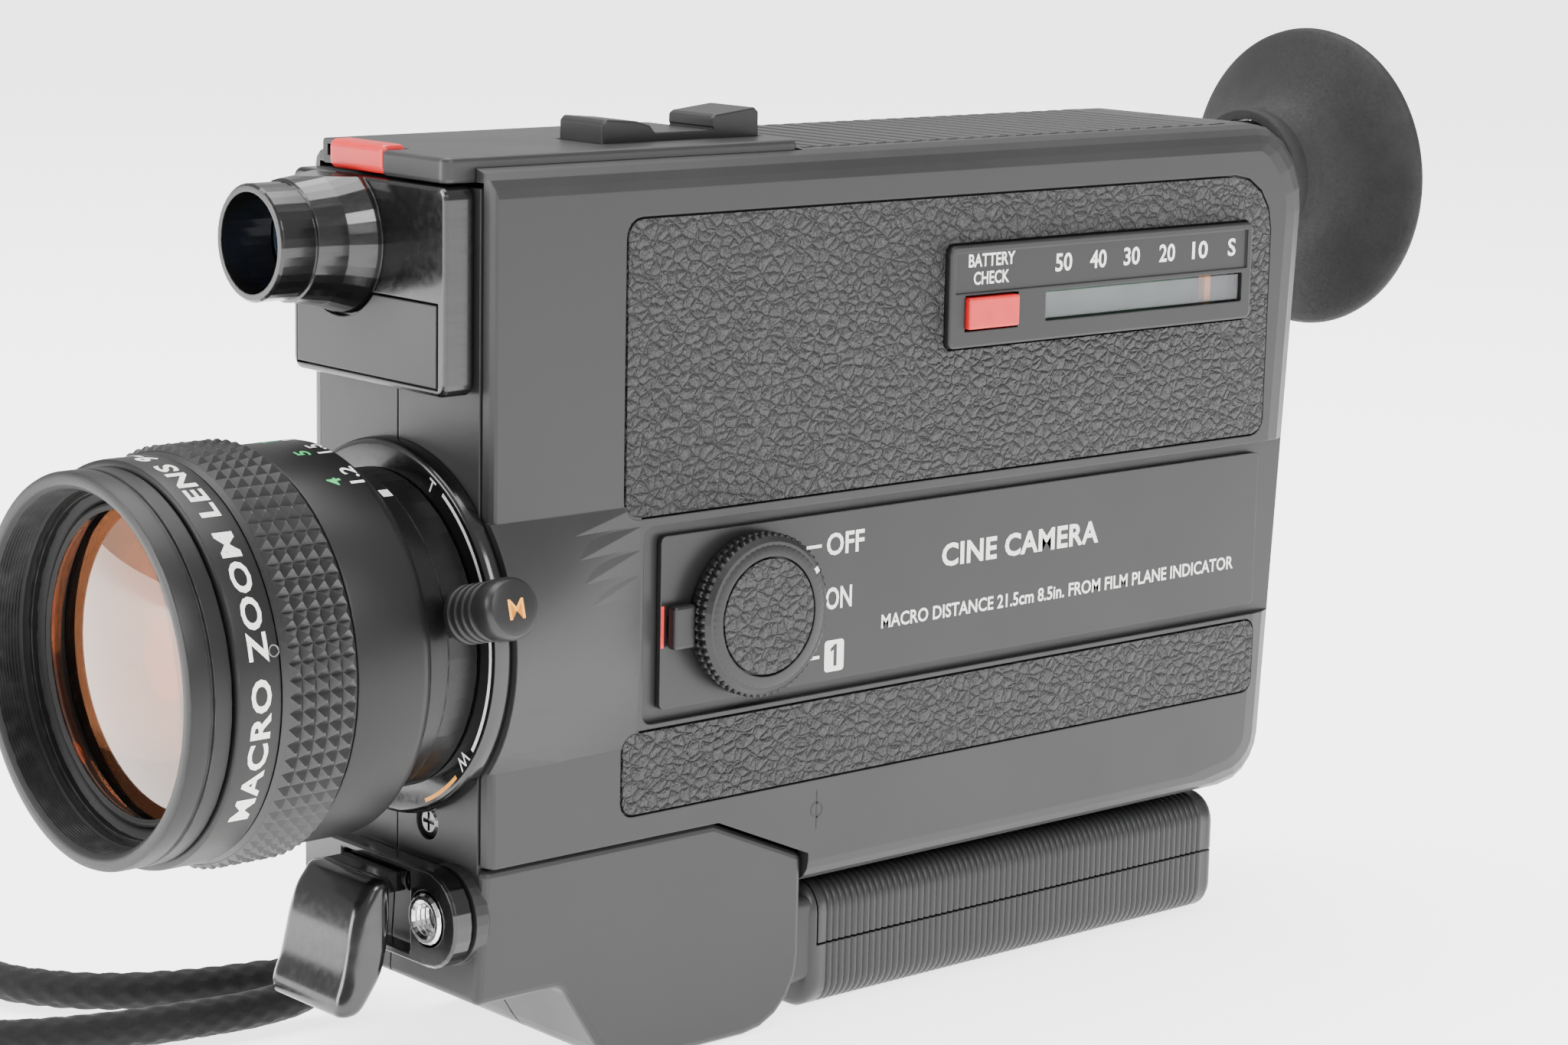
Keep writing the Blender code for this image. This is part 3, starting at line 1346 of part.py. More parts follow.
def battery_cell(name, x):
    y0, y1 = CELL_Y
    profile = [(0, y0), (CELL_R, y0), (CELL_R, y1 - 1.2), (2.6, y1 - 1.2), (2.6, y1), (0, y1)]
    return finish(turned(name, profile, (x, CELL_Z), "Y", 32), CELL)


def battery_contacts():
    """Plate with a dished pad for each cell."""
    y = (CELL_Y[0] - 1.8, CELL_Y[0] - 1.0)
    x = (GRIP_X[0] + GRIP_WALL + GAP, GRIP_X[1] - GRIP_WALL - GAP)
    plate = slab("battery_contacts", "Y", x, (CELL_Z - 5.6, CELL_Z + 5.6), y, 1.5)
    tip = CELL_Y[0] - GAP
    profile = [(0, y[0]), (3.6, y[0]), (2.4, tip), (0, tip)]
    pads = [turned("pad", profile, (centre, CELL_Z), "Y", 20) for centre in CELL_X]
    return finish(join(plate, *pads), STEEL)


# ---------------------------------------------------------------- strap

FLOOR = HOUSING_BOTTOM
LYING = FLOOR + STRAP_D / 2 + 0.4
STRAP_ROUTE = [
    (FAR_X - 2.9, LUG_Y - 2.7, LUG_Z + 1.4),
    (FAR_X - 3.0, LUG_Y - 2.9, LUG_Z - 3.2),
    (FAR_X - 3.2, LUG_Y - 4.6, LUG_Z - 8.4),
    (FAR_X - 3.6, LUG_Y - 9.0, LYING + 1.0),
    (FAR_X - 4.0, 14.0, LYING),
    (FAR_X - 5.0, 5.0, LYING),
    (FAR_X - 7.2, -5.0, LYING),
    (FAR_X - 11.0, -15.0, LYING),
    (FAR_X - 17.0, -24.0, LYING),
    (FAR_X - 25.4, -30.4, LYING),
    (FAR_X - 35.0, -32.6, LYING),
    (FAR_X - 43.8, -29.4, LYING),
    (FAR_X - 48.6, -21.8, LYING),
    (FAR_X - 46.6, -13.6, LYING),
    (FAR_X - 39.6, -8.6, LYING),
    (FAR_X - 30.8, -5.4, LYING),
    (FAR_X - 23.0, 0.6, LYING),
    (FAR_X - 17.6, 9.4, LYING),
    (FAR_X - 14.6, 19.0, LYING),
    (FAR_X - 11.0, 27.4, LYING + 0.8),
    (FAR_X - 6.6, 32.0, LUG_Z - 8.8),
    (FAR_X - 3.4, LUG_Y + 2.8, LUG_Z - 3.6),
    (FAR_X - 2.9, LUG_Y + 2.7, LUG_Z + 1.4),
]


def smooth_route(route, pace):
    """Points about pace apart on a curve through the route's points."""
    found = []
    ends = [route[0]] + list(route) + [route[-1]]
    for i in range(len(route) - 1):
        a, b, c, d = (Vector(p) for p in ends[i : i + 4])
        steps = max(1, round((c - b).length / pace))
        for k in range(steps):
            t = k / steps
            square = 2 * a - 5 * b + 4 * c - d
            cube = 3 * b - a - 3 * c + d
            found.append(0.5 * (2 * b + (c - a) * t + square * t * t + cube * t**3))
    found.append(Vector(route[-1]))
    return found


def strap():
    curve = bpy.data.curves.new("strap", "CURVE")
    curve.dimensions = "3D"
    curve.bevel_depth = STRAP_D / 2 * MM
    curve.bevel_resolution = 2
    curve.use_fill_caps = True
    points = smooth_route(STRAP_ROUTE, 2.4 * STRAP_D)
    line = curve.splines.new("POLY")
    line.points.add(len(points) - 1)
    for spot, place in zip(line.points, points):
        spot.co = (*(place * MM), 1.0)
    made = bpy.data.objects.new("strap", curve)
    bpy.context.scene.collection.objects.link(made)
    curve.materials.append(CORD)
    return made


# ---------------------------------------------------------------- assembly


def build():
    """Every piece, by the moving group it belongs to."""
    return {
        "body": [
            left_cover(), right_cover(), front_left(), front_right(), strap_lug(),
            finder_block(), name_plate(), finder_lens(), finder_barrel(), trigger_housing(),
            trigger_pin(), release_socket(), screw("screw_left", SCREW_PLACES[0]),
            screw("screw_right", SCREW_PLACES[1]), top_plate(), top_rear_panel(), eyepiece_barrel(),
            eyepiece_lens(), upper_leather(), lower_leather(), counter_plate(), counter_window(),
            control_plate(), lens_base_ring(), lens_barrel(), rear_element(), film_chamber(),
            gate_plate(), door_hinge_pin(), motor(), circuit_board(), grip_pin(), strap(),
        ],
        "trigger": [trigger()],
        "filter_slider": [filter_slider()],
        "zoom_rocker": [zoom_rocker()],
        "eyecup": [eyecup()],
        "counter_pointer": [counter_pointer()],
        "battery_check_button": [battery_check_button()],
        "mode_dial": [mode_dial(), dial_inlay()],
        "dial_lock_tab": [dial_lock_tab()],
        "zoom": [zoom_ring(), zoom_knob()],
        "focus": [focus_ring(), filter_ring(), front_element()],
        "film_door": [film_door(), film_window()],
        "door_latch": [door_latch()],
        "motor_pinion": [motor_pinion()],
        "idler_gear": [idler_gear()],
        "take_up_spindle": [take_up_spindle()],
        "shutter": [shutter()],
        "grip": [
            grip_body(), battery_cell("battery_cell_1", CELL_X[0]),
            battery_cell("battery_cell_2", CELL_X[1]), battery_contacts(),
        ],
        "battery_cover": [battery_cover()],
    }


# Axis point of each moving group, in the drafting frame
AXES = {
    "trigger": (0, TRIGGER_PIVOT_Y, TRIGGER_PIVOT_Z),
    "zoom_rocker": (0, (ROCKER_FRONT + ROCKER_REAR) / 2, ROCKER_PIVOT_Z),
    "eyecup": (FINDER_X, 0, EYE_Z),
    "mode_dial": (0, DIAL_Y, DIAL_Z),
    "zoom": (MIDDLE, 0, LENS_Z),
    "focus": (MIDDLE, 0, LENS_Z),
    "film_door": (HINGE_X, HINGE_Y, 0),
    "door_latch": (0, LATCH_Y, LATCH_Z),
    "motor_pinion": (0, *MOTOR),
    "idler_gear": (0, *IDLER),
    "take_up_spindle": (0, *SPINDLE),
    "shutter": (MIDDLE, 0, LENS_Z + SHUTTER_UP),
    "grip": (0, HUB_Y, HUB_Z),
    "battery_cover": (0, HUB_Y, HUB_Z),
}
CORD_PIECES = ("strap",)


def world_box(pieces):
    """Lowest and highest corners of the pieces as they are drawn."""
    graph = bpy.context.evaluated_depsgraph_get()
    low = Vector((9, 9, 9))
    high = Vector((-9, -9, -9))
    for piece in pieces:
        drawn = piece.evaluated_get(graph)
        mesh = drawn.to_mesh()
        for vertex in mesh.vertices:
            place = drawn.matrix_world @ vertex.co
            low = Vector(map(min, low, place))
            high = Vector(map(max, high, place))
        drawn.to_mesh_clear()
    return low, high


def assemble():
    root = bpy.data.objects.new("camera_root", None)
    bpy.context.scene.collection.objects.link(root)
    groups = build()
    bpy.context.view_layer.update()
    low, high = world_box([p for pieces in groups.values() for p in pieces if p.name not in CORD_PIECES])
    for group, pieces in groups.items():
        holder = root
        if group in AXES:
            holder = bpy.data.objects.new(group + "_axis", None)
            bpy.context.scene.collection.objects.link(holder)
            holder.location = Vector(AXES[group]) * MM
            holder.parent = root
        for piece in pieces:
            piece.parent = holder
            piece.location = -holder.location if holder is not root else Vector()
    root.location = (-(low.x + high.x) / 2, -(low.y + high.y) / 2, -low.z)
    bpy.context.view_layer.update()


assemble()
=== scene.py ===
"""Looks of the silent cine camera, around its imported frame.

Lengths are in millimetres in the part's drafting frame: x = 0 is the control side, the lens points
along -y, and z = 0 lies a little above the lens. place() turns them into the frame's metres.
"""

import math

import bmesh
import bpy
import numpy as np
from mathutils import Matrix, Vector


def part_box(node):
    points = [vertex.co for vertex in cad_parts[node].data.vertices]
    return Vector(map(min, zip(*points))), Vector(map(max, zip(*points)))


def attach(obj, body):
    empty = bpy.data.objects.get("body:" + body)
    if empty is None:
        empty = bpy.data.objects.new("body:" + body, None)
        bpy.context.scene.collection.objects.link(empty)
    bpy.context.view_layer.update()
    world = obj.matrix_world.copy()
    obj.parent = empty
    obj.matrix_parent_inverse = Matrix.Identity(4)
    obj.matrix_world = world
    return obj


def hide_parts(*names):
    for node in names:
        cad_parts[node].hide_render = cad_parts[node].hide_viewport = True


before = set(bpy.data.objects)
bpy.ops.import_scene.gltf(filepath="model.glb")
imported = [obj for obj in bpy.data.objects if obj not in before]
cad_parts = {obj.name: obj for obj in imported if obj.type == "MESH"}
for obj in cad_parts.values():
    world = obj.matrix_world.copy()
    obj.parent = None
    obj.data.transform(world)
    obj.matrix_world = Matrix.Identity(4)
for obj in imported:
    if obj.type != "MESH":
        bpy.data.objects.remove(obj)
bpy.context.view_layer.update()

MM = 0.001

# The drafting frame's origin, from pieces whose drafted places are round numbers
ORIGIN = Vector((
    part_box("grip_body")[1].x + 3.0 * MM,
    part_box("filter_ring")[0].y + 25.5 * MM,
    74.5 * MM,
))
FAR_X = -38.0
LENS_X = -19.0
LENS_Z = -17.0
KNURL_R = 24.9
KNURL_FRONT = -13.0
KNURL_REAR = -3.8
FLANGE_FRONT = 17.3
INDEX_R = 20.7
DIAL = (61.3, -17.4)
DIAL_R = 10.3
LEVER_ANGLE = 14.6
CAMERA_SPOT = (351.6, -244.1, 82.4)
CAMERA_TURN = (48.54, 10.71, 1.17)  # yaw, pitch and roll in degrees
SENSOR = 36.0
FOCAL_LENGTH = 85.46


def place(x, y, z):
    return ORIGIN + Vector((x, y, z)) * MM


def drafted(point):
    """A point of the frame in the drafting frame's millimetres."""
    return (point - ORIGIN) / MM


def around_lens(radius, y, degrees):
    """A point on a circle about the lens axis: 0 degrees is the control side, 90 is up."""
    turn = math.radians(degrees)
    return place(LENS_X + radius * math.cos(turn), y, LENS_Z + radius * math.sin(turn))


# ---- camera


def make_camera():
    """A pinhole camera at the photograph's viewing angle."""
    yaw, pitch, roll = (math.radians(v) for v in CAMERA_TURN)
    ahead = Vector((-math.sin(yaw) * math.cos(pitch), math.cos(yaw) * math.cos(pitch), -math.sin(pitch)))
    across = ahead.cross(Vector((0, 0, 1))).normalized()
    upward = across.cross(ahead)
    right = math.cos(roll) * across + math.sin(roll) * upward
    up = -math.sin(roll) * across + math.cos(roll) * upward
    data = bpy.data.cameras.new("camera")
    data.sensor_width = SENSOR
    data.lens = FOCAL_LENGTH
    data.clip_start = 0.01
    made = bpy.data.objects.new("camera", data)
    bpy.context.scene.collection.objects.link(made)
    turn = Matrix((right, up, -ahead)).transposed().to_4x4()
    made.matrix_world = Matrix.Translation(place(*CAMERA_SPOT)) @ turn
    bpy.context.scene.camera = made


make_camera()


# ---- material nodes


class Look:
    """Node-building for one material; every call returns an output socket."""

    def __init__(self, name):
        self.material = bpy.data.materials.new(name)
        self.material.use_nodes = True
        self.tree = self.material.node_tree
        self.shader = self.tree.nodes["Principled BSDF"]
        self.where = self.node("ShaderNodeTexCoord").outputs["Object"]

    def node(self, kind, **values):
        made = self.tree.nodes.new(kind)
        for name, value in values.items():
            setattr(made, name, value)
        return made

    def feed(self, socket, value):
        if isinstance(value, bpy.types.NodeSocket):
            self.tree.links.new(value, socket)
        else:
            socket.default_value = value

    def scaled(self, x, y, z, turn=(0, 0, 0)):
        made = self.node("ShaderNodeMapping")
        self.feed(made.inputs["Vector"], self.where)
        made.inputs["Scale"].default_value = (x, y, z)
        made.inputs["Rotation"].default_value = turn
        return made.outputs["Vector"]

    def noise(self, scale, detail=3.0, rough=0.5, where=None):
        made = self.node("ShaderNodeTexNoise")
        self.feed(made.inputs["Vector"], where or self.where)
        made.inputs["Scale"].default_value = scale
        made.inputs["Detail"].default_value = detail
        made.inputs["Roughness"].default_value = rough
        return made.outputs["Fac"]

    def cells(self, scale, where):
        """How far a point is from the nearest join between cells."""
        made = self.node("ShaderNodeTexVoronoi", feature="DISTANCE_TO_EDGE")
        self.feed(made.inputs["Vector"], where)
        made.inputs["Scale"].default_value = scale
        return made.outputs["Distance"]

    def wobbled(self, amount, scale):
        """Coordinates pushed about by a soft noise, so that a regular pattern looks natural."""
        source = self.node("ShaderNodeTexNoise")
        self.feed(source.inputs["Vector"], self.where)
        source.inputs["Scale"].default_value = scale
        source.inputs["Detail"].default_value = 2.0
        centred = self.node("ShaderNodeVectorMath", operation="SUBTRACT")
        self.feed(centred.inputs[0], source.outputs["Color"])
        centred.inputs[1].default_value = (0.5, 0.5, 0.5)
        grown = self.node("ShaderNodeVectorMath", operation="SCALE")
        self.feed(grown.inputs[0], centred.outputs["Vector"])
        grown.inputs["Scale"].default_value = amount
        total = self.node("ShaderNodeVectorMath", operation="ADD")
        self.feed(total.inputs[0], self.where)
        self.feed(total.inputs[1], grown.outputs["Vector"])
        return total.outputs["Vector"]

    def math(self, operation, a, b):
        made = self.node("ShaderNodeMath", operation=operation)
        self.feed(made.inputs[0], a)
        self.feed(made.inputs[1], b)
        return made.outputs[0]

    def span(self, value, low, high, to_low=0.0, to_high=1.0):
        """Maps low to high on to to_low to to_high, held at both ends."""
        made = self.node("ShaderNodeMapRange")
        self.feed(made.inputs["Value"], value)
        made.inputs["From Min"].default_value = low
        made.inputs["From Max"].default_value = high
        made.inputs["To Min"].default_value = to_low
        made.inputs["To Max"].default_value = to_high
        return made.outputs["Result"]

    def blend(self, share, first, second):
        made = self.node("ShaderNodeMix", data_type="RGBA")
        self.feed(made.inputs["Factor"], share)
        self.feed(made.inputs["A"], first)
        self.feed(made.inputs["B"], second)
        return made.outputs["Result"]

    def edges(self, width):
        """1 along sharp edges within width, 0 elsewhere."""
        flat = self.node("ShaderNodeNewGeometry")
        dot = self.node("ShaderNodeVectorMath", operation="DOT_PRODUCT")
        self.feed(dot.inputs[0], self.rounding(width, 6))
        self.feed(dot.inputs[1], flat.outputs["Normal"])
        return self.span(dot.outputs["Value"], 0.99, 0.85)

    def rounding(self, width, samples=4):
        """Normals rounded off over the sharp edges."""
        soft = self.node("ShaderNodeBevel", samples=samples)
        soft.inputs["Radius"].default_value = width
        return soft.outputs["Normal"]

    def bump(self, height, distance, strength=1.0, under=None):
        """Relief of this distance in metres, on top of the normals under it."""
        made = self.node("ShaderNodeBump")
        made.inputs["Strength"].default_value = strength
        made.inputs["Distance"].default_value = distance
        self.feed(made.inputs["Height"], height)
        if under is not None:
            self.feed(made.inputs["Normal"], under)
        return made.outputs["Normal"]

    def set(self, **values):
        """Feeds the shader's sockets and returns the finished material."""
        names = {
            "color": "Base Color",
            "rough": "Roughness",
            "metal": "Metallic",
            "normal": "Normal",
            "specular": "Specular IOR Level",
            "coat": "Coat Weight",
            "coat_rough": "Coat Roughness",
            "sheen": "Sheen Weight",
            "sheen_rough": "Sheen Roughness",
            "through": "Transmission Weight",
            "ior": "IOR",
            "alpha": "Alpha",
        }
        for name, value in values.items():
            self.feed(self.shader.inputs[names[name]], value)
        return self.material


def grey(level, tint=0.0):
    return (level, level, level * (1 + tint), 1.0)


COOL = 0.04  # the share by which the blacks lean to blue
ROUGH_SPREAD = 0.06


def moulded(name, level, rough, grain, wear=0.35, edge=0.0004):
    """Moulded black plastic: fine spark texture, faint flow patches, paler rubbed edges."""
    look = Look(name)
    patches = look.noise(38.0, 4.0, 0.6)
    fine = look.noise(5200.0, 2.0, 0.6)
    dust = look.span(look.noise(900.0, 6.0, 0.7), 0.66, 0.74)
    rubbed = look.math("MULTIPLY", look.edges(edge), look.span(look.noise(260.0, 4.0), 0.35, 0.7))
    base = look.blend(look.span(patches, 0.3, 0.7), grey(level * 0.93, COOL), grey(level * 1.07, COOL))
    base = look.blend(look.math("MULTIPLY", dust, 0.12), base, grey(level * 2.2, COOL))
    base = look.blend(look.math("MULTIPLY", rubbed, wear), base, grey(level * 2.5 + 0.012, COOL))
    normal = look.bump(fine, 0.00002, grain, look.rounding(edge * 0.6))
    shine = look.span(patches, 0.3, 0.7, rough - ROUGH_SPREAD, rough + ROUGH_SPREAD)
    return look.set(color=base, rough=shine, normal=normal, specular=0.36)


SATIN = moulded("satin_body", 0.018, 0.40, 0.5)
SATIN_FINE = moulded("satin_fine", 0.013, 0.36, 0.3)
KEY_BLACK = moulded("key_black", 0.010, 0.38, 0.4, wear=0.25, edge=0.0003)


def glossy(name, level, rough):
    """Glossy black plastic with hairline polish marks and a clear surface."""
    look = Look(name)
    streaks = look.noise(900.0, 5.0, 0.7, look.scaled(1.0, 0.12, 1.0, (0.3, 0.2, 0.5)))
    dust = look.span(look.noise(1500.0, 4.0, 0.7), 0.70, 0.76)
    base = look.blend(look.math("MULTIPLY", dust, 0.3), grey(level), grey(level * 4 + 0.03))
    base = look.blend(look.math("MULTIPLY", look.edges(0.0003), 0.25), base, grey(level * 3 + 0.03))
    shine = look.span(streaks, 0.3, 0.75, rough * 0.7, rough * 1.7)
    normal = look.bump(look.noise(160.0, 2.0), 0.00005, 0.08, look.rounding(0.00025))
    return look.set(color=base, rough=shine, normal=normal, specular=0.45, coat=0.25, coat_rough=0.08)


GLOSS = glossy("gloss_black", 0.004, 0.17)


def leatherette():
    """Embossed grain: pebbles one to two millimetres across with creases along their joins, and painted
    shade: the colour goes near-black along the joins.
    """
    look = Look("leatherette")
    where = look.wobbled(0.0011, 520.0)
    stretched = look.node("ShaderNodeMapping")
    look.feed(stretched.inputs["Vector"], where)
    stretched.inputs["Scale"].default_value = (1.0, 0.80, 1.0)
    stretched.inputs["Rotation"].default_value = (math.radians(24), 0, 0)
    cell = look.cells(700.0, stretched.outputs["Vector"])
    pebble = look.span(cell, 0.0, 0.34)
    dome = look.math("POWER", pebble, 0.55)
    crease_where = look.node("ShaderNodeMapping")
    look.feed(crease_where.inputs["Vector"], where)
    crease_where.inputs["Rotation"].default_value = (math.radians(-38), 0, 0)
    crease_where.inputs["Scale"].default_value = (1.0, 1.5, 0.75)
    crease = look.span(look.cells(1600.0, crease_where.outputs["Vector"]), 0.0, 0.22)
    skin = look.noise(4200.0, 4.0, 0.6)
    height = look.math("ADD", dome, look.math("MULTIPLY", crease, 0.22))
    height = look.math("ADD", height, look.math("MULTIPLY", skin, 0.10))
    # painted shade in the creases: the colour goes near-black towards the joins between pebbles
    hollow = look.span(cell, 0.0, 0.10)
    tone = look.blend(look.noise(60.0, 3.0), grey(0.016, 0.03), grey(0.022, 0.03))
    base = look.blend(hollow, grey(0.0035, 0.03), tone)
    shine = look.span(look.noise(700.0, 3.0), 0.3, 0.7, 0.44, 0.58)
    normal = look.bump(height, 0.0006, 1.0)
    return look.set(color=base, rough=shine, normal=normal, specular=0.5)


LEATHER = leatherette()


def anodised(name, level, rough):
    """Black anodised or lacquered metal with turning marks around the lens axis."""
    look = Look(name)
    fine = look.noise(2600.0, 3.0, 0.6, look.scaled(1.0, 6.0, 1.0))
    patches = look.noise(90.0, 4.0)
    rubbed = look.math("MULTIPLY", look.edges(0.00022), look.span(look.noise(420.0, 4.0), 0.42, 0.7))
    base = look.blend(look.span(patches, 0.3, 0.7), grey(level * 0.9), grey(level * 1.1))
    base = look.blend(look.math("MULTIPLY", rubbed, 0.5), base, grey(0.12))
    shine = look.span(fine, 0.25, 0.75, rough - 0.05, rough + 0.07)
    normal = look.bump(fine, 0.000012, 0.5, look.rounding(0.00018))
    return look.set(color=base, rough=shine, normal=normal, specular=0.30)


LENS_BLACK = anodised("lens_black", 0.006, 0.42)
BARREL_BLACK = anodised("barrel_black", 0.006, 0.30)
INNER_BLACK = anodised("inner_black", 0.003, 0.6)


def knurled():
    """Hard rubber of the focusing ring, dusty in its hollows."""
    look = Look("knurl_rubber")
    skin = look.noise(2400.0, 4.0, 0.65)
    dirt = look.span(look.noise(500.0, 5.0, 0.7), 0.55, 0.75)
    rubbed = look.edges(0.0003)
    base = look.blend(dirt, grey(0.007), grey(0.014))
    base = look.blend(look.math("MULTIPLY", rubbed, 0.3), base, grey(0.05))
    shine = look.span(skin, 0.3, 0.7, 0.34, 0.48)
    return look.set(color=base, rough=shine, normal=look.bump(skin, 0.00002, 0.5), specular=0.5)


KNURL = knurled()


def rubber():
    """Matt black rubber with a grey bloom."""
    look = Look("matt_rubber")
    skin = look.noise(1900.0, 5.0, 0.7)
    bloom = look.span(look.noise(70.0, 5.0, 0.65), 0.4, 0.75)
    base = look.blend(bloom, grey(0.008), grey(0.018))
    base = look.blend(look.math("MULTIPLY", look.edges(0.0005), 0.3), base, grey(0.04))
    shine = look.span(skin, 0.3, 0.7, 0.60, 0.82)
    return look.set(color=base, rough=shine, normal=look.bump(skin, 0.00003, 0.6), specular=0.3)


RUBBER = rubber()


def coloured(name, color, rough, edge=0.0002):
    """Through-coloured plastic with a slight unevenness and paler corners."""
    look = Look(name)
    dark = tuple(c * 0.86 for c in color) + (1.0,)
    pale = tuple(min(1.0, c * 1.25 + 0.05) for c in color) + (1.0,)
    base = look.blend(look.span(look.noise(320.0, 4.0), 0.3, 0.7), dark, (*color, 1.0))
    base = look.blend(look.math("MULTIPLY", look.edges(edge), 0.5), base, pale)
    fine = look.noise(3800.0, 3.0)
    shine = look.span(fine, 0.3, 0.7, rough - 0.05, rough + 0.06)
    return look.set(color=base, rough=shine, normal=look.bump(fine, 0.00002, 0.35, look.rounding(edge)))


RED = coloured("red_key", (0.62, 0.014, 0.016), 0.36)
ORANGE = coloured("orange_pointer", (0.95, 0.30, 0.03), 0.40)
WHITE_PLASTIC = coloured("white_nylon", (0.72, 0.71, 0.66), 0.42)
GREEN_BOARD = coloured("circuit_board_green", (0.03, 0.20, 0.075), 0.40)


def metal(name, color, rough, brushed):
    """Bare metal with brushed lines and duller stains."""
    look = Look(name)
    lines = look.noise(1500.0, 4.0, 0.65, look.scaled(1.0, brushed, 1.0))
    stain = look.span(look.noise(240.0, 5.0, 0.7), 0.5, 0.8)
    dull = tuple(c * 0.72 for c in color) + (1.0,)
    base = look.blend(stain, (*color, 1.0), dull)
    shine = look.span(lines, 0.25, 0.75, rough * 0.7, rough * 1.5)
    return look.set(
        color=base, rough=shine, metal=1.0, normal=look.bump(lines, 0.00001, 0.4, look.rounding(0.00008))
    )


STEEL = metal("bright_steel", (0.78, 0.78, 0.79), 0.18, 5.0)
DARK_STEEL = metal("blackened_steel", (0.16, 0.16, 0.165), 0.28, 4.0)
BRASS = metal("brass", (0.72, 0.52, 0.22), 0.26, 5.0)


def cell_jacket():
    """The printed foil round a battery cell."""
    look = Look("cell_jacket")
    prints = look.span(look.noise(150.0, 3.0, 0.5, look.scaled(1.0, 0.25, 1.0)), 0.48, 0.52)
    base = look.blend(prints, (0.05, 0.06, 0.09, 1.0), (0.36, 0.33, 0.24, 1.0))
    return look.set(color=base, rough=look.span(look.noise(900.0), 0.3, 0.7, 0.22, 0.36), metal=0.4)


CELL = cell_jacket()


def paint(name, color, rough=0.5):
    """Filled lettering paint, slightly uneven."""
    look = Look(name)
    spots = look.noise(2500.0, 4.0, 0.7)
    dark = tuple(c * 0.82 for c in color) + (1.0,)
    base = look.blend(look.span(spots, 0.35, 0.65), dark, (*color, 1.0))
    return look.set(color=base, rough=rough, normal=look.bump(spots, 0.00001, 0.4))


WHITE_PAINT = paint("white_paint", (0.86, 0.86, 0.83))
GREEN_PAINT = paint("green_paint", (0.05, 0.55, 0.16))
ORANGE_PAINT = paint("orange_paint", (0.92, 0.36, 0.03))
RED_PAINT = paint("red_paint", (0.75, 0.02, 0.02))
DARK_PAINT = paint("dark_paint", (0.012, 0.012, 0.012))
BLACK_PAINT = paint("grey_paint", (0.002, 0.002, 0.002))


def coated(name, tint, bloom, through):
    """Coated optical glass: its surface mirrors the room in the coating's colour, and its base colour is
    painted from tint to bloom towards grazing angles, a painted reflection.
    """
    look = Look(name)
    # painted reflection: the facing share below blends the base colour to the bloom colour at grazing
    # angles
    rim = look.node("ShaderNodeLayerWeight")
    rim.inputs["Blend"].default_value = 0.3
    smear = look.span(look.noise(120.0, 4.0, 0.6), 0.35, 0.75)
    base = look.blend(rim.outputs["Facing"], (*tint, 1.0), (*bloom, 1.0))
    look.shader.inputs["Coat Tint"].default_value = (*bloom, 1.0)
    look.shader.inputs["Coat IOR"].default_value = 1.7
    return look.set(
        color=base, rough=look.span(smear, 0.0, 1.0, 0.01, 0.04), ior=1.6, coat=1.0, coat_rough=0.015,
        through=through,
    )


# the second colour of each glass is its painted reflection at grazing angles as well as its coat tint
FRONT_GLASS = coated("front_glass", (0.70, 0.50, 0.38), (0.90, 0.70, 0.56), 1.0)
INNER_GLASS = coated("inner_glass", (0.055, 0.030, 0.018), (0.80, 0.50, 0.32), 0.0)
SMALL_GLASS = coated("small_glass", (0.010, 0.012, 0.016), (0.35, 0.42, 0.55), 0.0)


def window():
    """Slightly smoky clear plastic."""
    look = Look("counter_pane")
    smear = look.noise(300.0, 4.0, 0.6)
    base = look.blend(look.span(smear, 0.3, 0.7), (0.20, 0.205, 0.22, 1.0), (0.26, 0.265, 0.28, 1.0))
    return look.set(color=base, rough=look.span(smear, 0.3, 0.7, 0.08, 0.16), alpha=0.30, ior=1.45)


WINDOW = window()


def braid():
    """Matt black textile strands."""
    look = Look("braided_cord")
    strands = look.noise(3000.0, 5.0, 0.7)
    base = look.blend(look.span(strands, 0.3, 0.7), grey(0.004), grey(0.014))
    shine = look.span(strands, 0.3, 0.7, 0.62, 0.85)
    normal = look.bump(strands, 0.00008, 0.8)
    return look.set(color=base, rough=shine, normal=normal, sheen=0.15, sheen_rough=0.4, specular=0.2)


BRAID = braid()

FINISH = {
    SATIN: (
        "left_cover", "right_cover", "front_left_casing", "front_right_casing", "top_plate",
        "film_door", "top_rear_panel", "grip_body", "battery_cover",
    ),
    SATIN_FINE: ("control_plate", "counter_plate", "name_plate", "door_latch"),
    KEY_BLACK: ("zoom_rocker", "mode_dial", "dial_lock_tab", "zoom_knob"),
    GLOSS: ("finder_block", "trigger_housing", "trigger", "lens_base_ring"),
    LEATHER: ("upper_leather", "lower_leather", "dial_inlay"),
    LENS_BLACK: ("focus_ring", "filter_ring"),
    BARREL_BLACK: ("lens_barrel", "zoom_ring", "eyepiece_barrel", "finder_barrel"),
    INNER_BLACK: ("film_chamber", "shutter"),
    RUBBER: ("eyecup",),
    RED: ("filter_slider", "battery_check_button"),
    ORANGE: ("counter_pointer",),
    FRONT_GLASS: ("front_element",),
    SMALL_GLASS: ("finder_front_lens", "eyepiece_lens", "rear_element"),
    WINDOW: ("counter_window", "film_window"),
    STEEL: ("release_socket", "strap_lug", "trigger_pin", "grip_pin", "door_hinge_pin", "gate_plate",
            "battery_contacts", "motor"),
    DARK_STEEL: ("screw_left", "screw_right"),
    BRASS: ("motor_pinion",),
    WHITE_PLASTIC: ("idler_gear", "take_up_spindle"),
    GREEN_BOARD: ("circuit_board",),
    CELL: ("battery_cell_1", "battery_cell_2"),
}
for finish, names in FINISH.items():
    for name in names:
        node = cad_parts[name]
        node.data.materials.clear()
        node.data.materials.append(finish)


# ---- mesh helpers


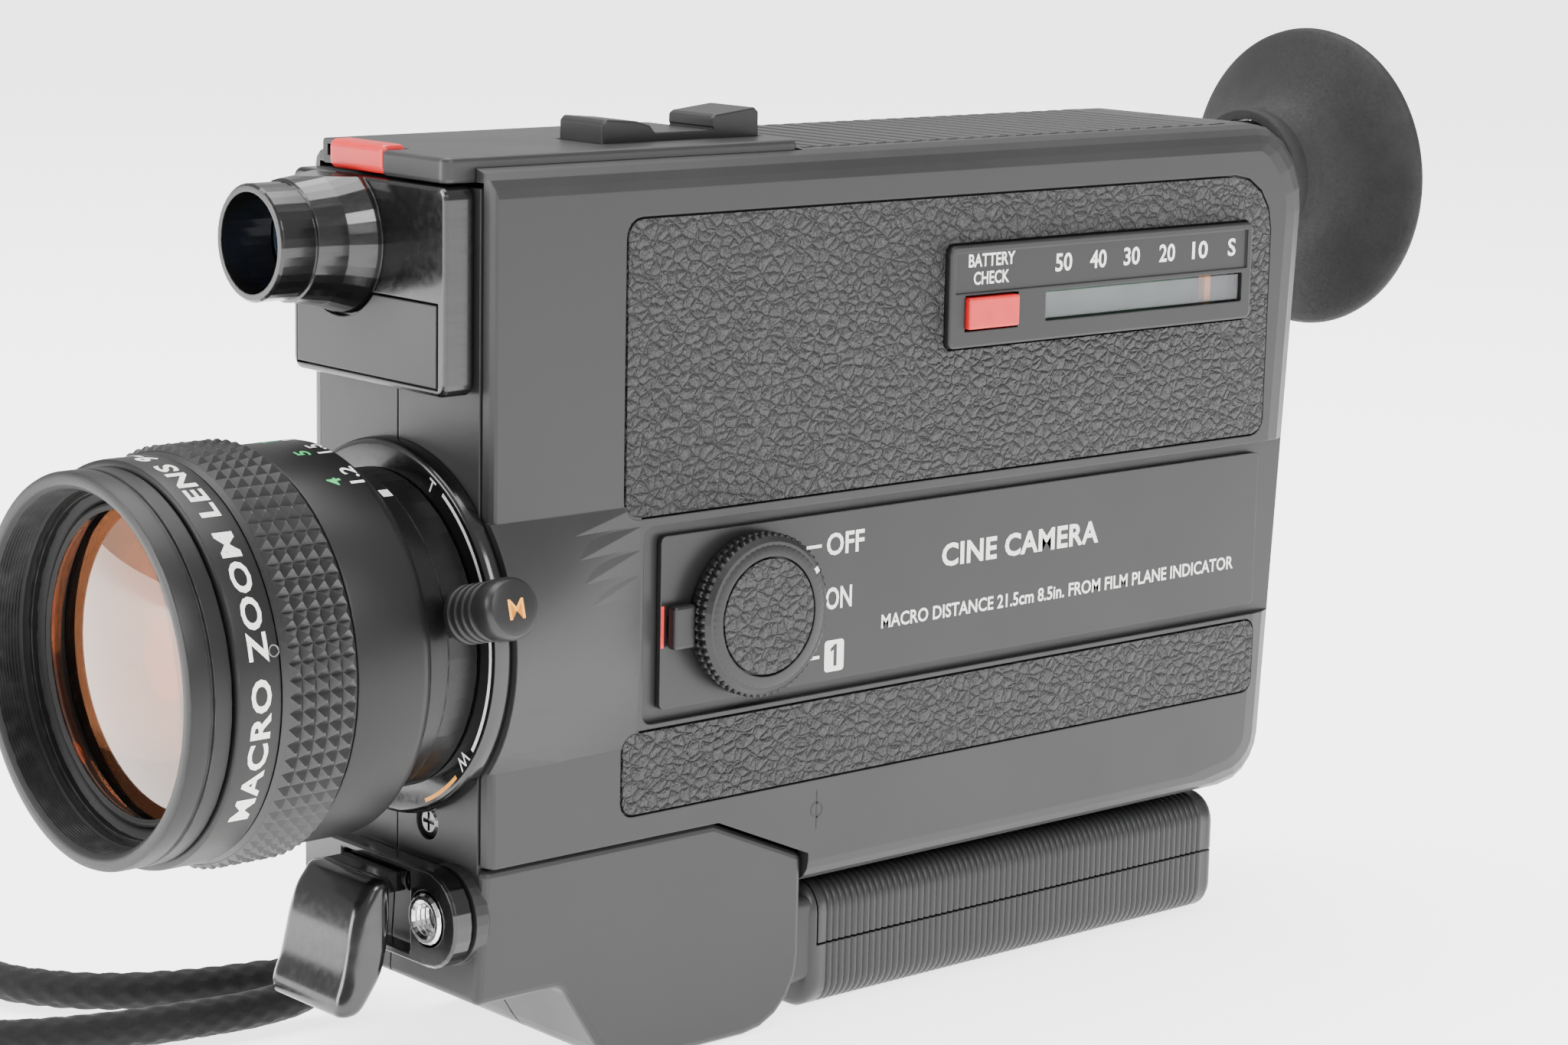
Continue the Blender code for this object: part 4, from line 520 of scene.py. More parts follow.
def linked(name, points, faces, closed=True):
    """A bare object in the row frame; a closed mesh gets its faces turned outwards."""
    mesh = bpy.data.meshes.new(name)
    mesh.from_pydata([tuple(p) for p in points], [], faces)
    if closed:
        work = bmesh.new()
        work.from_mesh(mesh)
        bmesh.ops.recalc_face_normals(work, faces=work.faces)
        work.to_mesh(mesh)
        work.free()
    made = bpy.data.objects.new(name, mesh)
    bpy.context.scene.collection.objects.link(made)
    return made


def dress(made, name, look, body, smooth=True, sharp=35):
    """Names an object, gives it one material and its shading, and hands it to its body."""
    made.name = name
    made.data.name = name
    made.data.materials.clear()
    made.data.materials.append(look)
    for polygon in made.data.polygons:
        polygon.use_smooth = smooth
        polygon.material_index = 0
    if smooth and sharp:
        made.data.set_sharp_from_angle(angle=math.radians(sharp))
    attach(made, body)
    return made


def piece(name, points, faces, look, body, smooth=True, sharp=None):
    """A closed mesh in the row frame that rides on a body."""
    return dress(linked(name, points, faces), name, look, body, smooth, sharp)


def grid_faces(rows, columns):
    """Quads between closed rows of points."""
    faces = []
    for i in range(rows - 1):
        for k in range(columns):
            a = i * columns + k
            b = i * columns + (k + 1) % columns
            faces.append([a, b, b + columns, a + columns])
    return faces


def closed_ring(
    name, profile, look, body, sides=160, centre=(LENS_X, LENS_Z), axis="Y", sharp=35
):
    """A closed profile of (radius, along) turned about an axis through centre."""
    points = []
    for radius, along in profile:
        for k in range(sides):
            turn = 2 * math.pi * k / sides
            a = centre[0] + radius * math.cos(turn)
            b = centre[1] + radius * math.sin(turn)
            points.append(place(a, along, b) if axis == "Y" else place(along, a, b))
    faces = grid_faces(len(profile) + 1, sides)
    count = len(profile) * sides
    faces = [[v % count for v in face] for face in faces]
    return piece(name, points, faces, look, body, True, sharp)


SWELL_R = 24.5
SWELL_FRONT = 19.62
SWELL_REAR = 43.0
SKIN_DEPTH = 0.5
SKIN_PROUD = 0.06
SKIN_EDGE = -0.04


def swelling(name, side, columns=48, rows=20):
    """A smooth skin over the casing's swelling behind the lens: an arc in front, flat at the rear."""
    face = 0.0 if side > 0 else FAR_X
    reach = abs(LENS_X - face)
    half = math.acos(reach / SWELL_R)
    there = list(range(columns + 1))
    points = []
    for i in range(rows + 1):
        back = i / rows
        y = SWELL_FRONT + (SWELL_REAR - SWELL_FRONT) * back
        for sunk, order in ((0.0, there), (SKIN_DEPTH, there[::-1])):
            for k in order:
                across = 2 * k / columns - 1
                angle = half * across
                proud = SKIN_PROUD * (1 - across**8) * (1 - back**6) + SKIN_EDGE
                out = (SWELL_R * math.cos(angle) - reach) * (1 - back) + proud - sunk
                points.append(place(face + side * out, y, LENS_Z + SWELL_R * math.sin(angle)))
    count = 2 * len(there)
    faces = grid_faces(rows + 1, count)
    for start in (0, rows * count):
        faces += [
            [start + k, start + k + 1, start + count - 2 - k, start + count - 1 - k] for k in there[:-1]
        ]
    piece(name, points, faces, SATIN, "camera_body", sharp=50)


swelling("swelling_near", 1)
swelling("swelling_far", -1)


# ---- strap

STRAP_D = 5.0
STRANDS = 6
BRAID_TURN = 1.9  # radians of turn for each millimetre along the cord
BRAID_RELIEF = 0.16
STRAP_LUG = (30.0, -58.0)
LYING = -71.6
STRAP_ROUTE = [
    (-2.9, STRAP_LUG[0] - 2.7, STRAP_LUG[1] + 1.4),
    (-3.0, STRAP_LUG[0] - 2.9, STRAP_LUG[1] - 3.2),
    (-3.2, STRAP_LUG[0] - 4.6, STRAP_LUG[1] - 8.4),
    (-3.6, STRAP_LUG[0] - 9.0, LYING + 1.0),
    (-4.0, 14.0, LYING),
    (-5.0, 5.0, LYING),
    (-7.2, -5.0, LYING),
    (-11.0, -15.0, LYING),
    (-17.0, -24.0, LYING),
    (-25.4, -30.4, LYING),
    (-35.0, -32.6, LYING),
    (-43.8, -29.4, LYING),
    (-48.6, -21.8, LYING),
    (-46.6, -13.6, LYING),
    (-39.6, -8.6, LYING),
    (-30.8, -5.4, LYING),
    (-23.0, 0.6, LYING),
    (-17.6, 9.4, LYING),
    (-14.6, 19.0, LYING),
    (-11.0, 27.4, LYING + 0.8),
    (-6.6, 32.0, STRAP_LUG[1] - 8.8),
    (-3.4, STRAP_LUG[0] + 2.8, STRAP_LUG[1] - 3.6),
    (-2.9, STRAP_LUG[0] + 2.7, STRAP_LUG[1] + 1.4),
]


def spline(a, b, c, d, t):
    """The point at t, 0 to 1, from b to c on a smooth curve past all four."""
    square = 2 * a - 5 * b + 4 * c - d
    cube = 3 * b - a - 3 * c + d
    return 0.5 * (2 * b + (c - a) * t + square * t * t + cube * t**3)


def smooth_route(route, pace):
    """Points about pace apart on a curve through the route's points."""
    found = []
    ends = [route[0]] + list(route) + [route[-1]]
    for i in range(len(route) - 1):
        a, b, c, d = (Vector(p) for p in ends[i : i + 4])
        steps = max(1, round((c - b).length / pace))
        for k in range(steps):
            found.append(spline(a, b, c, d, k / steps))
    found.append(Vector(route[-1]))
    return found


def make_strap():
    """Tubular braid: two sets of strands that cross in relief."""
    corners = [(FAR_X + x, y, z) for x, y, z in STRAP_ROUTE]
    line = smooth_route(corners, 0.62)
    sides = 32
    rows = len(line)
    points = []
    side = Vector((1, 0, 0))
    run = 0.0
    for i, here in enumerate(line):
        ahead = (line[min(i + 1, rows - 1)] - line[max(i - 1, 0)]).normalized()
        side = (side - ahead * side.dot(ahead)).normalized()
        up = ahead.cross(side)
        if i:
            run += (here - line[i - 1]).length
        for k in range(sides):
            turn = 2 * math.pi * k / sides
            one = math.sin(STRANDS * turn + run * BRAID_TURN)
            two = math.sin(STRANDS * turn - run * BRAID_TURN)
            relief = BRAID_RELIEF * max(one, two) - BRAID_RELIEF
            reach = STRAP_D / 2 + relief
            points.append(place(*(here + (side * math.cos(turn) + up * math.sin(turn)) * reach)))
    faces = grid_faces(rows, sides)
    faces.append(list(range(sides)))
    faces.append(list(range((rows - 1) * sides, rows * sides)))
    made = piece("braided_strap", points, faces, BRAID, "camera_body")
    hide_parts("strap")


make_strap()


# ---- printed marks


LETTER_WEIGHT = 0.02


def stroke_mesh(text, size, spacing, weight):
    """Flat lettering as (points, triangles), with its lower left corner near the origin."""
    curve = bpy.data.curves.new("lettering", "FONT")
    curve.body = text
    curve.size = size
    curve.space_character = spacing
    curve.offset = weight
    curve.resolution_u = 3
    made = bpy.data.objects.new("lettering", curve)
    bpy.context.scene.collection.objects.link(made)
    graph = bpy.context.evaluated_depsgraph_get()
    mesh = bpy.data.meshes.new_from_object(made.evaluated_get(graph))
    work = bmesh.new()
    work.from_mesh(mesh)
    bmesh.ops.triangulate(work, faces=work.faces)
    long_edges = [e for e in work.edges if e.calc_length() > size * 0.25]
    bmesh.ops.subdivide_edges(work, edges=long_edges, cuts=2)
    bmesh.ops.triangulate(work, faces=work.faces)
    work.verts.ensure_lookup_table()
    points = [(v.co.x, v.co.y) for v in work.verts]
    faces = [[v.index for v in face.verts] for face in work.faces]
    work.free()
    bpy.data.objects.remove(made)
    bpy.data.meshes.remove(mesh)
    return points, faces


def bar(a, b, width, height):
    """A small rectangle from its lower left corner, as (points, faces)."""
    return [(a, b), (a + width, b), (a + width, b + height), (a, b + height)], [[0, 1, 2, 3]]


def printed(name, shapes, wrap, look, body):
    """Flat shapes laid on a surface: wrap turns (at, a, b) into a point, a and b being the shape's own."""
    points = []
    faces = []
    for (flat, sides), at in shapes:
        start = len(points)
        points += [wrap(at, a, b) for a, b in flat]
        faces += [[start + v for v in face] for face in sides]
    made = linked(name, points, faces, closed=False)
    made.data.materials.append(look)
    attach(made, body)


def centred(text, size, weight):
    """Lettering of this size, centred on the origin sideways."""
    points, faces = stroke_mesh(text, size, 1.0, weight)
    low = min(a for a, b in points)
    high = max(a for a, b in points)
    return [(a - (low + high) / 2, b) for a, b in points], faces


def on_side(x):
    """Lettering on the control side, reading towards the rear."""
    return lambda at, a, b: place(x, at[0] + a, at[1] + b)


def fit(text, width, height, spacing=1.0, weight=LETTER_WEIGHT):
    """Lettering stretched to this width and height from its lower left corner."""
    points, faces = stroke_mesh(text, 1.0, spacing, weight)
    left, right = min(a for a, b in points), max(a for a, b in points)
    low, high = min(b for a, b in points), max(b for a, b in points)
    wider, higher = width / (right - left), height / (high - low)
    return [((a - left) * wider, (b - low) * higher) for a, b in points], faces


def rounded_rect(a, b, radius, steps=6):
    """Points round a rectangle with quarter-circle corners."""
    found = []
    for ca, cb, start in (
        (a[1] - radius, b[1] - radius, 0), (a[0] + radius, b[1] - radius, 90),
        (a[0] + radius, b[0] + radius, 180), (a[1] - radius, b[0] + radius, 270),
    ):
        for k in range(steps + 1):
            turn = math.radians(start + 90 * k / steps)
            found.append((ca + radius * math.cos(turn), cb + radius * math.sin(turn)))
    return found


CONTROL_FACE = -0.2
COUNTER_FACE = 0.6
DIAL_FACE = 3.56
LIFT = 0.03  # how far paint stands off its surface
LETTER_Y = 74.2
MACRO_LINE = "MACRO DISTANCE 21.5cm 8.5in. FROM FILM PLANE INDICATOR"


def control_marks():
    """The control plate's words, the boxed figure of the single-frame position and the dial's index."""
    figure_box = rounded_rect((0, 3.4), (0, 4.2), 0.5, 5)
    whites = [
        (fit("OFF", 6.6, 3.0), (LETTER_Y, -11.7)),
        (fit("ON", 4.6, 3.0), (LETTER_Y, -18.9)),
        (bar(0, 0, 3.4, 0.42), (69.9, -10.4)),
        (bar(0, 0, 2.4, 0.42), (70.9, -25.2)),
        ((figure_box, [list(range(len(figure_box)))]), (LETTER_Y, -27.2)),
        (fit("CINE CAMERA", 30.0, 3.2, spacing=1.05, weight=0.03), (95.0, -15.6)),
        (fit(MACRO_LINE, 69.0, 1.9), (84.2, -22.6)),
    ]
    side = on_side(CONTROL_FACE + LIFT)
    printed("control_lettering", whites, side, WHITE_PAINT, "camera_body")
    stem = ([(0.7, 0), (1.25, 0), (1.25, 2.9), (0.8, 2.9), (0.7, 2.75)], [[0, 1, 2, 3, 4]])
    flag = ([(0.7, 2.75), (0.7, 2.2), (0.15, 1.95), (0.15, 2.4)], [[0, 3, 2, 1]])
    figure = [(stem, (75.1, -26.5)), (flag, (75.1, -26.5))]
    side = on_side(CONTROL_FACE + 2 * LIFT)
    printed("single_frame_figure", figure, side, DARK_PAINT, "camera_body")
    mark = [(bar(-0.4, -0.75, 0.8, 1.5), (0, 0))]
    turn = math.radians(33)
    reach = DIAL_R - 1.3

    def on_dial(at, a, b):
        along = reach + b
        y = DIAL[0] + along * math.cos(turn) - a * math.sin(turn)
        z = DIAL[1] + along * math.sin(turn) + a * math.cos(turn)
        return place(DIAL_FACE, y, z)

    printed("dial_index", mark, on_dial, WHITE_PAINT, "mode_dial")


def counter_marks():
    """Feet left in the cartridge, and the battery check's label."""
    numbers = [("50", 115.5), ("40", 122.2), ("30", 128.8), ("20", 135.9), ("10", 142.6), ("S", 149.2)]
    shapes = []
    for text, y in numbers:
        width = 1.6 * len(text)
        flat, faces = fit(text, width, 2.5)
        shapes.append((([(a - width / 2, b) for a, b in flat], faces), (y, 23.0)))
    shapes.append((fit("BATTERY", 8.6, 1.75), (97.6, 24.6)))
    shapes.append((fit("CHECK", 6.6, 1.75), (98.6, 22.2)))
    side = on_side(COUNTER_FACE + LIFT)
    printed("counter_lettering", shapes, side, WHITE_PAINT, "camera_body")


def on_ring(radius):
    """Lettering round a ring about the lens axis, its tops towards the front: at = (y, degrees)."""
    return lambda at, a, b: around_lens(radius, at[0] - b, at[1] + math.degrees(a / radius))


NAME_R = 24.42
SKIRT_R = 24.36
COLLAR_R = 20.76
SCALE_START = 60.0
SCALE_STEP = 17.0


def lens_marks():
    """The name round the front band, the focusing scale and its fixed index."""
    band = [(fit("MACRO ZOOM LENS 9-27mm 1:1.4", 84.0, 2.75, 1.12, 0.03), (-15.2, -38.0))]
    printed("lens_lettering", band, on_ring(NAME_R + LIFT), WHITE_PAINT, "focus")
    metres = ("1.2", "1.5", "2", "3", "5", "10")
    feet = ("4", "5", "7", "10", "15", "30")
    for name, texts, y, height, look in (
        ("focus_metres", metres, 6.2, 2.0, WHITE_PAINT),
        ("focus_feet", feet, 3.2, 1.9, GREEN_PAINT),
    ):
        shapes = []
        for k, text in enumerate(texts):
            width = 1.45 * len(text.replace(".", "")) + 0.5 * text.count(".")
            shapes.append((fit(text, width, height), (y, SCALE_START + SCALE_STEP * k)))
        printed(name, shapes, on_ring(SKIRT_R + LIFT), look, "focus")
    index = [(bar(-0.7, -0.9, 1.4, 1.4), (11.2, 64.5))]
    printed("focus_index", index, on_ring(INDEX_R + 3 * LIFT), WHITE_PAINT, "camera_body")


control_marks()
counter_marks()
lens_marks()


ARC_R = (22.0, 22.5)


def flat_arc(name, degrees, look, steps=48):
    """A thin painted arc on the flange's face."""
    turns = [degrees[0] + (degrees[1] - degrees[0]) * k / steps for k in range(steps + 1)]
    points = [(radius, turn) for turn in turns for radius in ARC_R]
    faces = [[2 * k, 2 * k + 1, 2 * k + 3, 2 * k + 2] for k in range(steps)]

    def on_flange(at, radius, turn):
        return around_lens(radius, FLANGE_FRONT - LIFT, turn)

    printed(name, [((points, faces), None)], on_flange, look, "camera_body")


def flange_marks():
    """Zoom travel on the flange: T, a white arc, W and the orange macro arc."""
    flat_arc("zoom_arc", (-33, 56), WHITE_PAINT)
    flat_arc("macro_arc", (-66, -46), ORANGE_PAINT)

    def on_face(at, a, b):
        turn = math.radians(at[1])
        out = Vector((math.cos(turn), math.sin(turn)))
        across = Vector((math.sin(turn), -math.cos(turn)))
        spot = out * (at[0] + b) + across * a
        return place(LENS_X + spot.x, FLANGE_FRONT - LIFT, LENS_Z + spot.y)

    letters = [
        (centred("T", 2.4, LETTER_WEIGHT), (20.9, 62)),
        (centred("W", 2.4, LETTER_WEIGHT), (20.9, -39)),
    ]
    printed("zoom_letters", letters, on_face, WHITE_PAINT, "camera_body")


flange_marks()


# ---- lens details


def knurl():
    """Five rows of small four-sided pyramids round the focusing ring, on a plain base."""
    around = 80
    rows = 5
    tip = 0.7
    pitch = (KNURL_REAR - KNURL_FRONT) / rows
    width = 360.0 / around
    low = KNURL_R - 0.15
    high = low + tip
    flat = 0.08
    points = []
    faces = []
    for i in range(rows):
        y0 = KNURL_FRONT + i * pitch
        for k in range(around):
            turn = width * k
            start = len(points)
            for radius, near, far in ((low, 0, 1), (high, 0.5 - flat, 0.5 + flat)):
                for y, t in ((near, near), (near, far), (far, far), (far, near)):
                    points.append(around_lens(radius, y0 + pitch * y, turn + width * t))
            for a in range(4):
                b = (a + 1) % 4
                faces.append([start + a, start + b, start + 4 + b, start + 4 + a])
            faces.append([start + 4, start + 5, start + 6, start + 7])
    made = piece("focus_knurl", points, faces, KNURL, "focus", False)
    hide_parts("focus_ring")
    closed_ring("knurl_base", [
        (21.0, KNURL_FRONT - 0.6), (24.2, KNURL_FRONT - 0.6), (24.74, KNURL_FRONT + 0.05),
        (24.74, KNURL_REAR - 0.05), (24.2, KNURL_REAR + 0.5), (21.0, KNURL_REAR + 0.5),
    ], KNURL, "focus", 160)


def smooth_rings():
    """Name band, filter ring with its thread, focusing skirt and collars, turned with soft lips."""
    closed_ring("name_band", [
        (21.0, -19.7), (23.7, -19.7), (24.1, -19.66), (24.36, -19.45), (NAME_R, -19.1), (NAME_R, -14.3),
        (24.36, -13.95), (24.1, -13.7), (21.0, -13.65),
    ], LENS_BLACK, "focus", 192)
    closed_ring("focus_skirt", [
        (21.0, -3.25), (24.0, -3.25), (24.28, -3.15), (SKIRT_R, -2.9), (SKIRT_R, 5.9), (24.3, 6.4),
        (24.1, 6.8), (23.3, 7.85), (23.0, 8.05), (22.6, 8.1), (21.0, 8.1),
    ], LENS_BLACK, "focus", 192)
    thread = []
    for k in range(9):
        thread += [(21.75, -21.3 - 0.42 * k), (21.5, -21.5 - 0.42 * k)]
    ring = closed_ring("filter_mount", [
        (22.0, -25.4), (22.4, -25.5), (23.1, -25.5), (23.45, -25.36), (23.6, -25.0), (23.6, -22.9),
        (23.3, -22.75), (23.3, -22.35), (23.6, -22.2), (23.6, -20.0), (20.7, -20.0), (20.7, -11.8),
        (19.3, -11.8), (19.3, -17.7), (19.5, -18.5), (20.0, -19.0), (20.9, -19.3), (21.3, -20.0),
        (21.35, -20.9),
    ] + thread, INNER_BLACK, "focus", 192)
    ring.data.materials.append(LENS_BLACK)
    for polygon in ring.data.polygons:
        middle = polygon.center - place(LENS_X, 0, LENS_Z)
        if math.hypot(middle.x, middle.z) > 22.1 * MM:
            polygon.material_index = 1
    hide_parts("filter_ring")
    closed_ring("barrel_collar", [
        (20.0, 8.4), (20.6, 8.4), (COLLAR_R, 8.5), (COLLAR_R, 12.0), (20.66, 12.3), (20.0, 12.4),
    ], BARREL_BLACK, "camera_body", 160)
    flange = closed_ring("lens_flange", [
        (14.6, FLANGE_FRONT + 0.05), (22.75, FLANGE_FRONT), (23.1, 17.4), (23.4, 17.75), (23.58, 18.4),
        (23.6, 19.3), (14.6, 19.3),
    ], GLOSS, "camera_body", 192)
    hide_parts("lens_base_ring")


def set_screw():
    """A small hollow-headed screw in the rear edge of the name band."""
    sides = 20
    turn = math.radians(13)
    out = Vector((math.cos(turn), 0, math.sin(turn)))
    across = Vector((-math.sin(turn), 0, math.cos(turn)))
    along = Vector((0, 1, 0))
    points = []
    heights = ((0.75, 24.38), (0.75, 24.50), (0.62, 24.54), (0.55, 24.36), (0.5, 24.30))
    for radius, reach in heights:
        for k in range(sides):
            angle = 2 * math.pi * k / sides
            spot = out * reach + (across * math.cos(angle) + along * math.sin(angle)) * radius
            points.append(place(LENS_X + spot.x, -14.5 + spot.y, LENS_Z + spot.z))
    faces = grid_faces(len(heights), sides)
    faces.append(list(range((len(heights) - 1) * sides, len(heights) * sides)))
    piece("set_screw", points, faces, DARK_STEEL, "focus")


def dome(name, radius, rim_y, depth, thick, look, body, rings=24, sides=96):
    """A closed lens: domed towards the front by depth, flat behind."""
    profile = [(0.02, rim_y - depth)]
    for k in range(1, rings + 1):
        share = k / rings
        profile.append((radius * share, rim_y - depth * (1 - share * share)))
    profile += [(radius, rim_y + thick), (0.02, rim_y + thick)]
    return closed_ring(name, profile, look, body, sides, sharp=60)


def glassware():
    """The front glass, the group behind it, and the black rings that hold them."""
    front = dome("front_glass", 19.0, -18.5, 2.4, 5.6, FRONT_GLASS, "focus")
    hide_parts("front_element")
    dome("second_glass", 15.6, -8.4, 3.2, 1.6, INNER_GLASS, "camera_body")
    closed_ring("baffle", [
        (15.8, -8.6), (18.1, -10.4), (18.1, -8.0), (15.8, -7.0),
    ], INNER_BLACK, "camera_body", 128)
    closed_ring("retaining_ring", [
        (18.4, -18.75), (18.9, -19.1), (19.25, -19.0), (19.25, -17.9), (18.9, -17.8),
    ], INNER_BLACK, "focus", 160)


knurl()
smooth_rings()
set_screw()
glassware()


# ---- carving


def block(x, y, z):
    """A box between these limits."""
    points = [place(a, b, c) for c in z for b in y for a in x]
    faces = [[0, 1, 3, 2], [4, 5, 7, 6], [0, 1, 5, 4], [2, 3, 7, 6], [0, 2, 6, 4], [1, 3, 7, 5]]
    return linked("cutter", points, faces)


def carve(made, *cutters):
    """Cuts the cutters out of a solid and removes them."""
    for cutter in cutters:
        change = made.modifiers.new("carve", "BOOLEAN")
        change.operation = "DIFFERENCE"
        change.solver = "EXACT"
        change.object = cutter
    graph = bpy.context.evaluated_depsgraph_get()
    graph.update()
    made.data = bpy.data.meshes.new_from_object(made.evaluated_get(graph))
    made.modifiers.clear()
    for cutter in cutters:
        bpy.data.objects.remove(cutter)
    return made


def loft(rows):
    """A closed solid through rows of equally many points, with flat ends."""
    count = len(rows[0])
    points = [p for row in rows for p in row]
    faces = grid_faces(len(rows), count)
    faces += [list(range(count)), list(range((len(rows) - 1) * count, len(rows) * count))]
    return linked("loft", points, faces)


# ---- dial, knob, tab and trigger


def dial_knurl():
    """Fine ridges round the dial's rim, in two tiers."""
    teeth = 60
    steps = teeth * 4
    tiers = (
        (0.35, 0.0), (0.6, 1.0), (1.5, 1.0), (1.65, 0.1), (1.8, 0.1), (1.95, 1.0), (2.7, 1.0), (3.1, 0.7),
        (3.5, 0.2), (3.62, 0.0),
    )
    points = []
    for x, level in tiers:
        lean = -1.1 * max(0.0, x - 2.7)
        for k in range(steps):
            wave = (0.0, 0.8, 1.0, 0.8)[k % 4]
            radius = DIAL_R - 0.25 + lean + 0.6 * wave * level
            turn = 2 * math.pi * k / steps
            points.append(place(x, DIAL[0] + radius * math.cos(turn), DIAL[1] + radius * math.sin(turn)))
    for x in (3.58, 0.35):
        for k in range(steps):
            turn = 2 * math.pi * k / steps
            points.append(place(x, DIAL[0] + 7.8 * math.cos(turn), DIAL[1] + 7.8 * math.sin(turn)))
    rows = len(tiers) + 2
    faces = grid_faces(rows, steps)
    last = (rows - 1) * steps
    faces += [[last + k, last + (k + 1) % steps, (k + 1) % steps, k] for k in range(steps)]
    piece("dial_rim", points, faces, KEY_BLACK, "mode_dial", True, 50)


def lever_frame():
    """Centre line of the zoom knob: out from the lens axis, towards the front, and up across."""
    turn = math.radians(LEVER_ANGLE)
    out = Vector((math.cos(turn), 0, math.sin(turn)))
    return out, Vector((0, 1, 0)), Vector((-math.sin(turn), 0, math.cos(turn)))


KNOB_Y = 13.75
KNOB_END = 33.0


def zoom_knob_dress():
    """A round knob with four grooves, a domed end and its macro letter."""
    out, along, across = lever_frame()
    centre = Vector((LENS_X, KNOB_Y, LENS_Z))
    sides = 64
    profile = [(0.02, 22.4), (2.6, 22.4), (3.1, 22.7)]
    for k in range(4):
        start = 23.2 + 1.45 * k
        profile += [
            (3.45, start), (3.6, start + 0.15), (3.6, start + 0.85), (3.45, start + 1.0),
            (3.15, start + 1.1), (3.15, start + 1.35),
        ]
    profile += [
        (3.6, 29.2), (3.75, 29.5), (3.78, 31.6), (3.66, 32.3), (3.3, 32.75), (2.6, 32.95), (0.02, KNOB_END),
    ]
    rows = []
    for radius, reach in profile:
        row = []
        for k in range(sides):
            angle = 2 * math.pi * k / sides
            spot = centre + out * reach + (along * math.cos(angle) + across * math.sin(angle)) * radius
            row.append(place(*spot))
        rows.append(row)
    stem = centre + Vector((0, 1.1, 0))
    hole = []
    for reach in (20.0, 26.2):
        hole.append([
            place(*(stem + out * reach + (along * math.cos(a) + across * math.sin(a)) * 1.5))
            for a in (2 * math.pi * k / 24 for k in range(24))
        ])
    knob = dress(carve(loft(rows), loft(hole)), "knob_body", KEY_BLACK, "zoom")
    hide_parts("zoom_knob")

    def on_end(at, a, b):
        return place(*(centre + out * (KNOB_END + 0.02) + along * a + across * (b - 1.3)))

    letter = centred("M", 3.5, LETTER_WEIGHT)
    printed("macro_letter", [(letter, (0, 0))], on_end, ORANGE_PAINT, "zoom")


def lock_tab_mark():
    """The red line beside the dial's locking tab."""
    low, high = (drafted(corner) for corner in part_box("dial_lock_tab"))
    line = [(bar(0, 0, 0.5, high.z - low.z - 0.2), (low.y - 0.75, low.z + 0.1))]
    printed("lock_line", line, on_side(CONTROL_FACE + LIFT), RED_PAINT, "camera_body")


def film_plane_mark():
    """A ring crossed by a line, where the film lies."""
    centre = (73.3, -45.5)
    shapes = [(bar(-0.12, -2.6, 0.24, 5.2), centre)]
    ring = []
    for k in range(41):
        turn = 2 * math.pi * k / 40
        ring += [(radius * math.cos(turn), radius * math.sin(turn)) for radius in (0.85, 1.1)]
    faces = [[2 * k, 2 * k + 1, 2 * k + 3, 2 * k + 2] for k in range(40)]
    shapes.append(((ring, faces), centre))
    printed("film_plane_mark", shapes, on_side(LIFT), BLACK_PAINT, "camera_body")


def catmull(rows, t):
    """Smooth value at t, 0 to 1, through evenly spaced rows of numbers."""
    spot = t * (len(rows) - 1)
    i = min(int(spot), len(rows) - 2)
    four = (np.array(rows[max(0, min(len(rows) - 1, i + k))], float) for k in (-1, 0, 1, 2))
    return spline(*four, spot - i)


def smooth_trigger():
    """The paddle as one soft moulding: a hollowed front, thick rounded edges and a curled lower lip."""
    rows = []
    steps = 40
    middle = -15.4
    lip = 0.06
    curl = 0.10
    ribs = [
        # z, front y, back y, half width
        (-45.9, 8.2, 11.4, 7.2),
        (-48.6, 6.2, 11.3, 7.5),
        (-51.5, 5.2, 11.1, 7.7),
        (-54.5, 4.6, 10.6, 7.9),
        (-57.5, 3.9, 9.7, 8.0),
        (-60.0, 3.0, 8.0, 8.1),
        (-62.3, 2.7, 6.2, 8.15),
    ]
    for i in range(steps + 1):
        t = i / steps
        z, front, back, half = catmull(ribs, t)
        end = max(1 - t / lip, (t - 1 + curl) / curl, 0.0)
        pinch = 1.0 - math.sqrt(max(0.0, 1 - end * end))
        half -= 1.6 * pinch
        depth = (back - front) / 2
        centre = (back + front) / 2
        depth *= 1.0 - 0.75 * pinch
        corner = min(1.9, depth * 0.92)
        row = []
        for a, b in rounded_rect((-half, half), (-depth, depth), corner, 8):
            hollow = 0.45 * (1 - (a / half) ** 2) * (1 if b < 0 else 0) * (1 - pinch)
            row.append(place(middle + a, centre + b + hollow, z))
        rows.append(row)
    paddle = dress(loft(rows), "trigger_paddle", GLOSS, "trigger", sharp=70)
    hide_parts("trigger")
    pin = drafted(sum(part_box("trigger_pin"), Vector()) / 2)
    closed_ring("trigger_eye", [
        (1.0, -22.9), (1.7, -22.9), (1.7, -11.0), (1.0, -11.0),
    ], GLOSS, "trigger", 48, (pin.y, pin.z), "X")
    web = block((-22.6, -11.3), (10.4, pin.y - 1.35), (pin.z - 1.3, pin.z + 1.1))
    dress(web, "trigger_web", GLOSS, "trigger")


# ---- grip


GRIP_X = (-35.0, -3.0)
GRIP_Y = (74.8, 154.8)
GRIP_Z = (-74.5, -57.0)
GRIP_R = 4.0
GRIP_WALL = 1.2
GRIP_SPLIT = -65.3
GRIP_GAP = 0.3
COVER_START = 76.8
RIB_PITCH = 1.12
RIB_DEPTH = 0.42
PIN_END = 1.2  # how far the grip's pin runs into the housing on either side


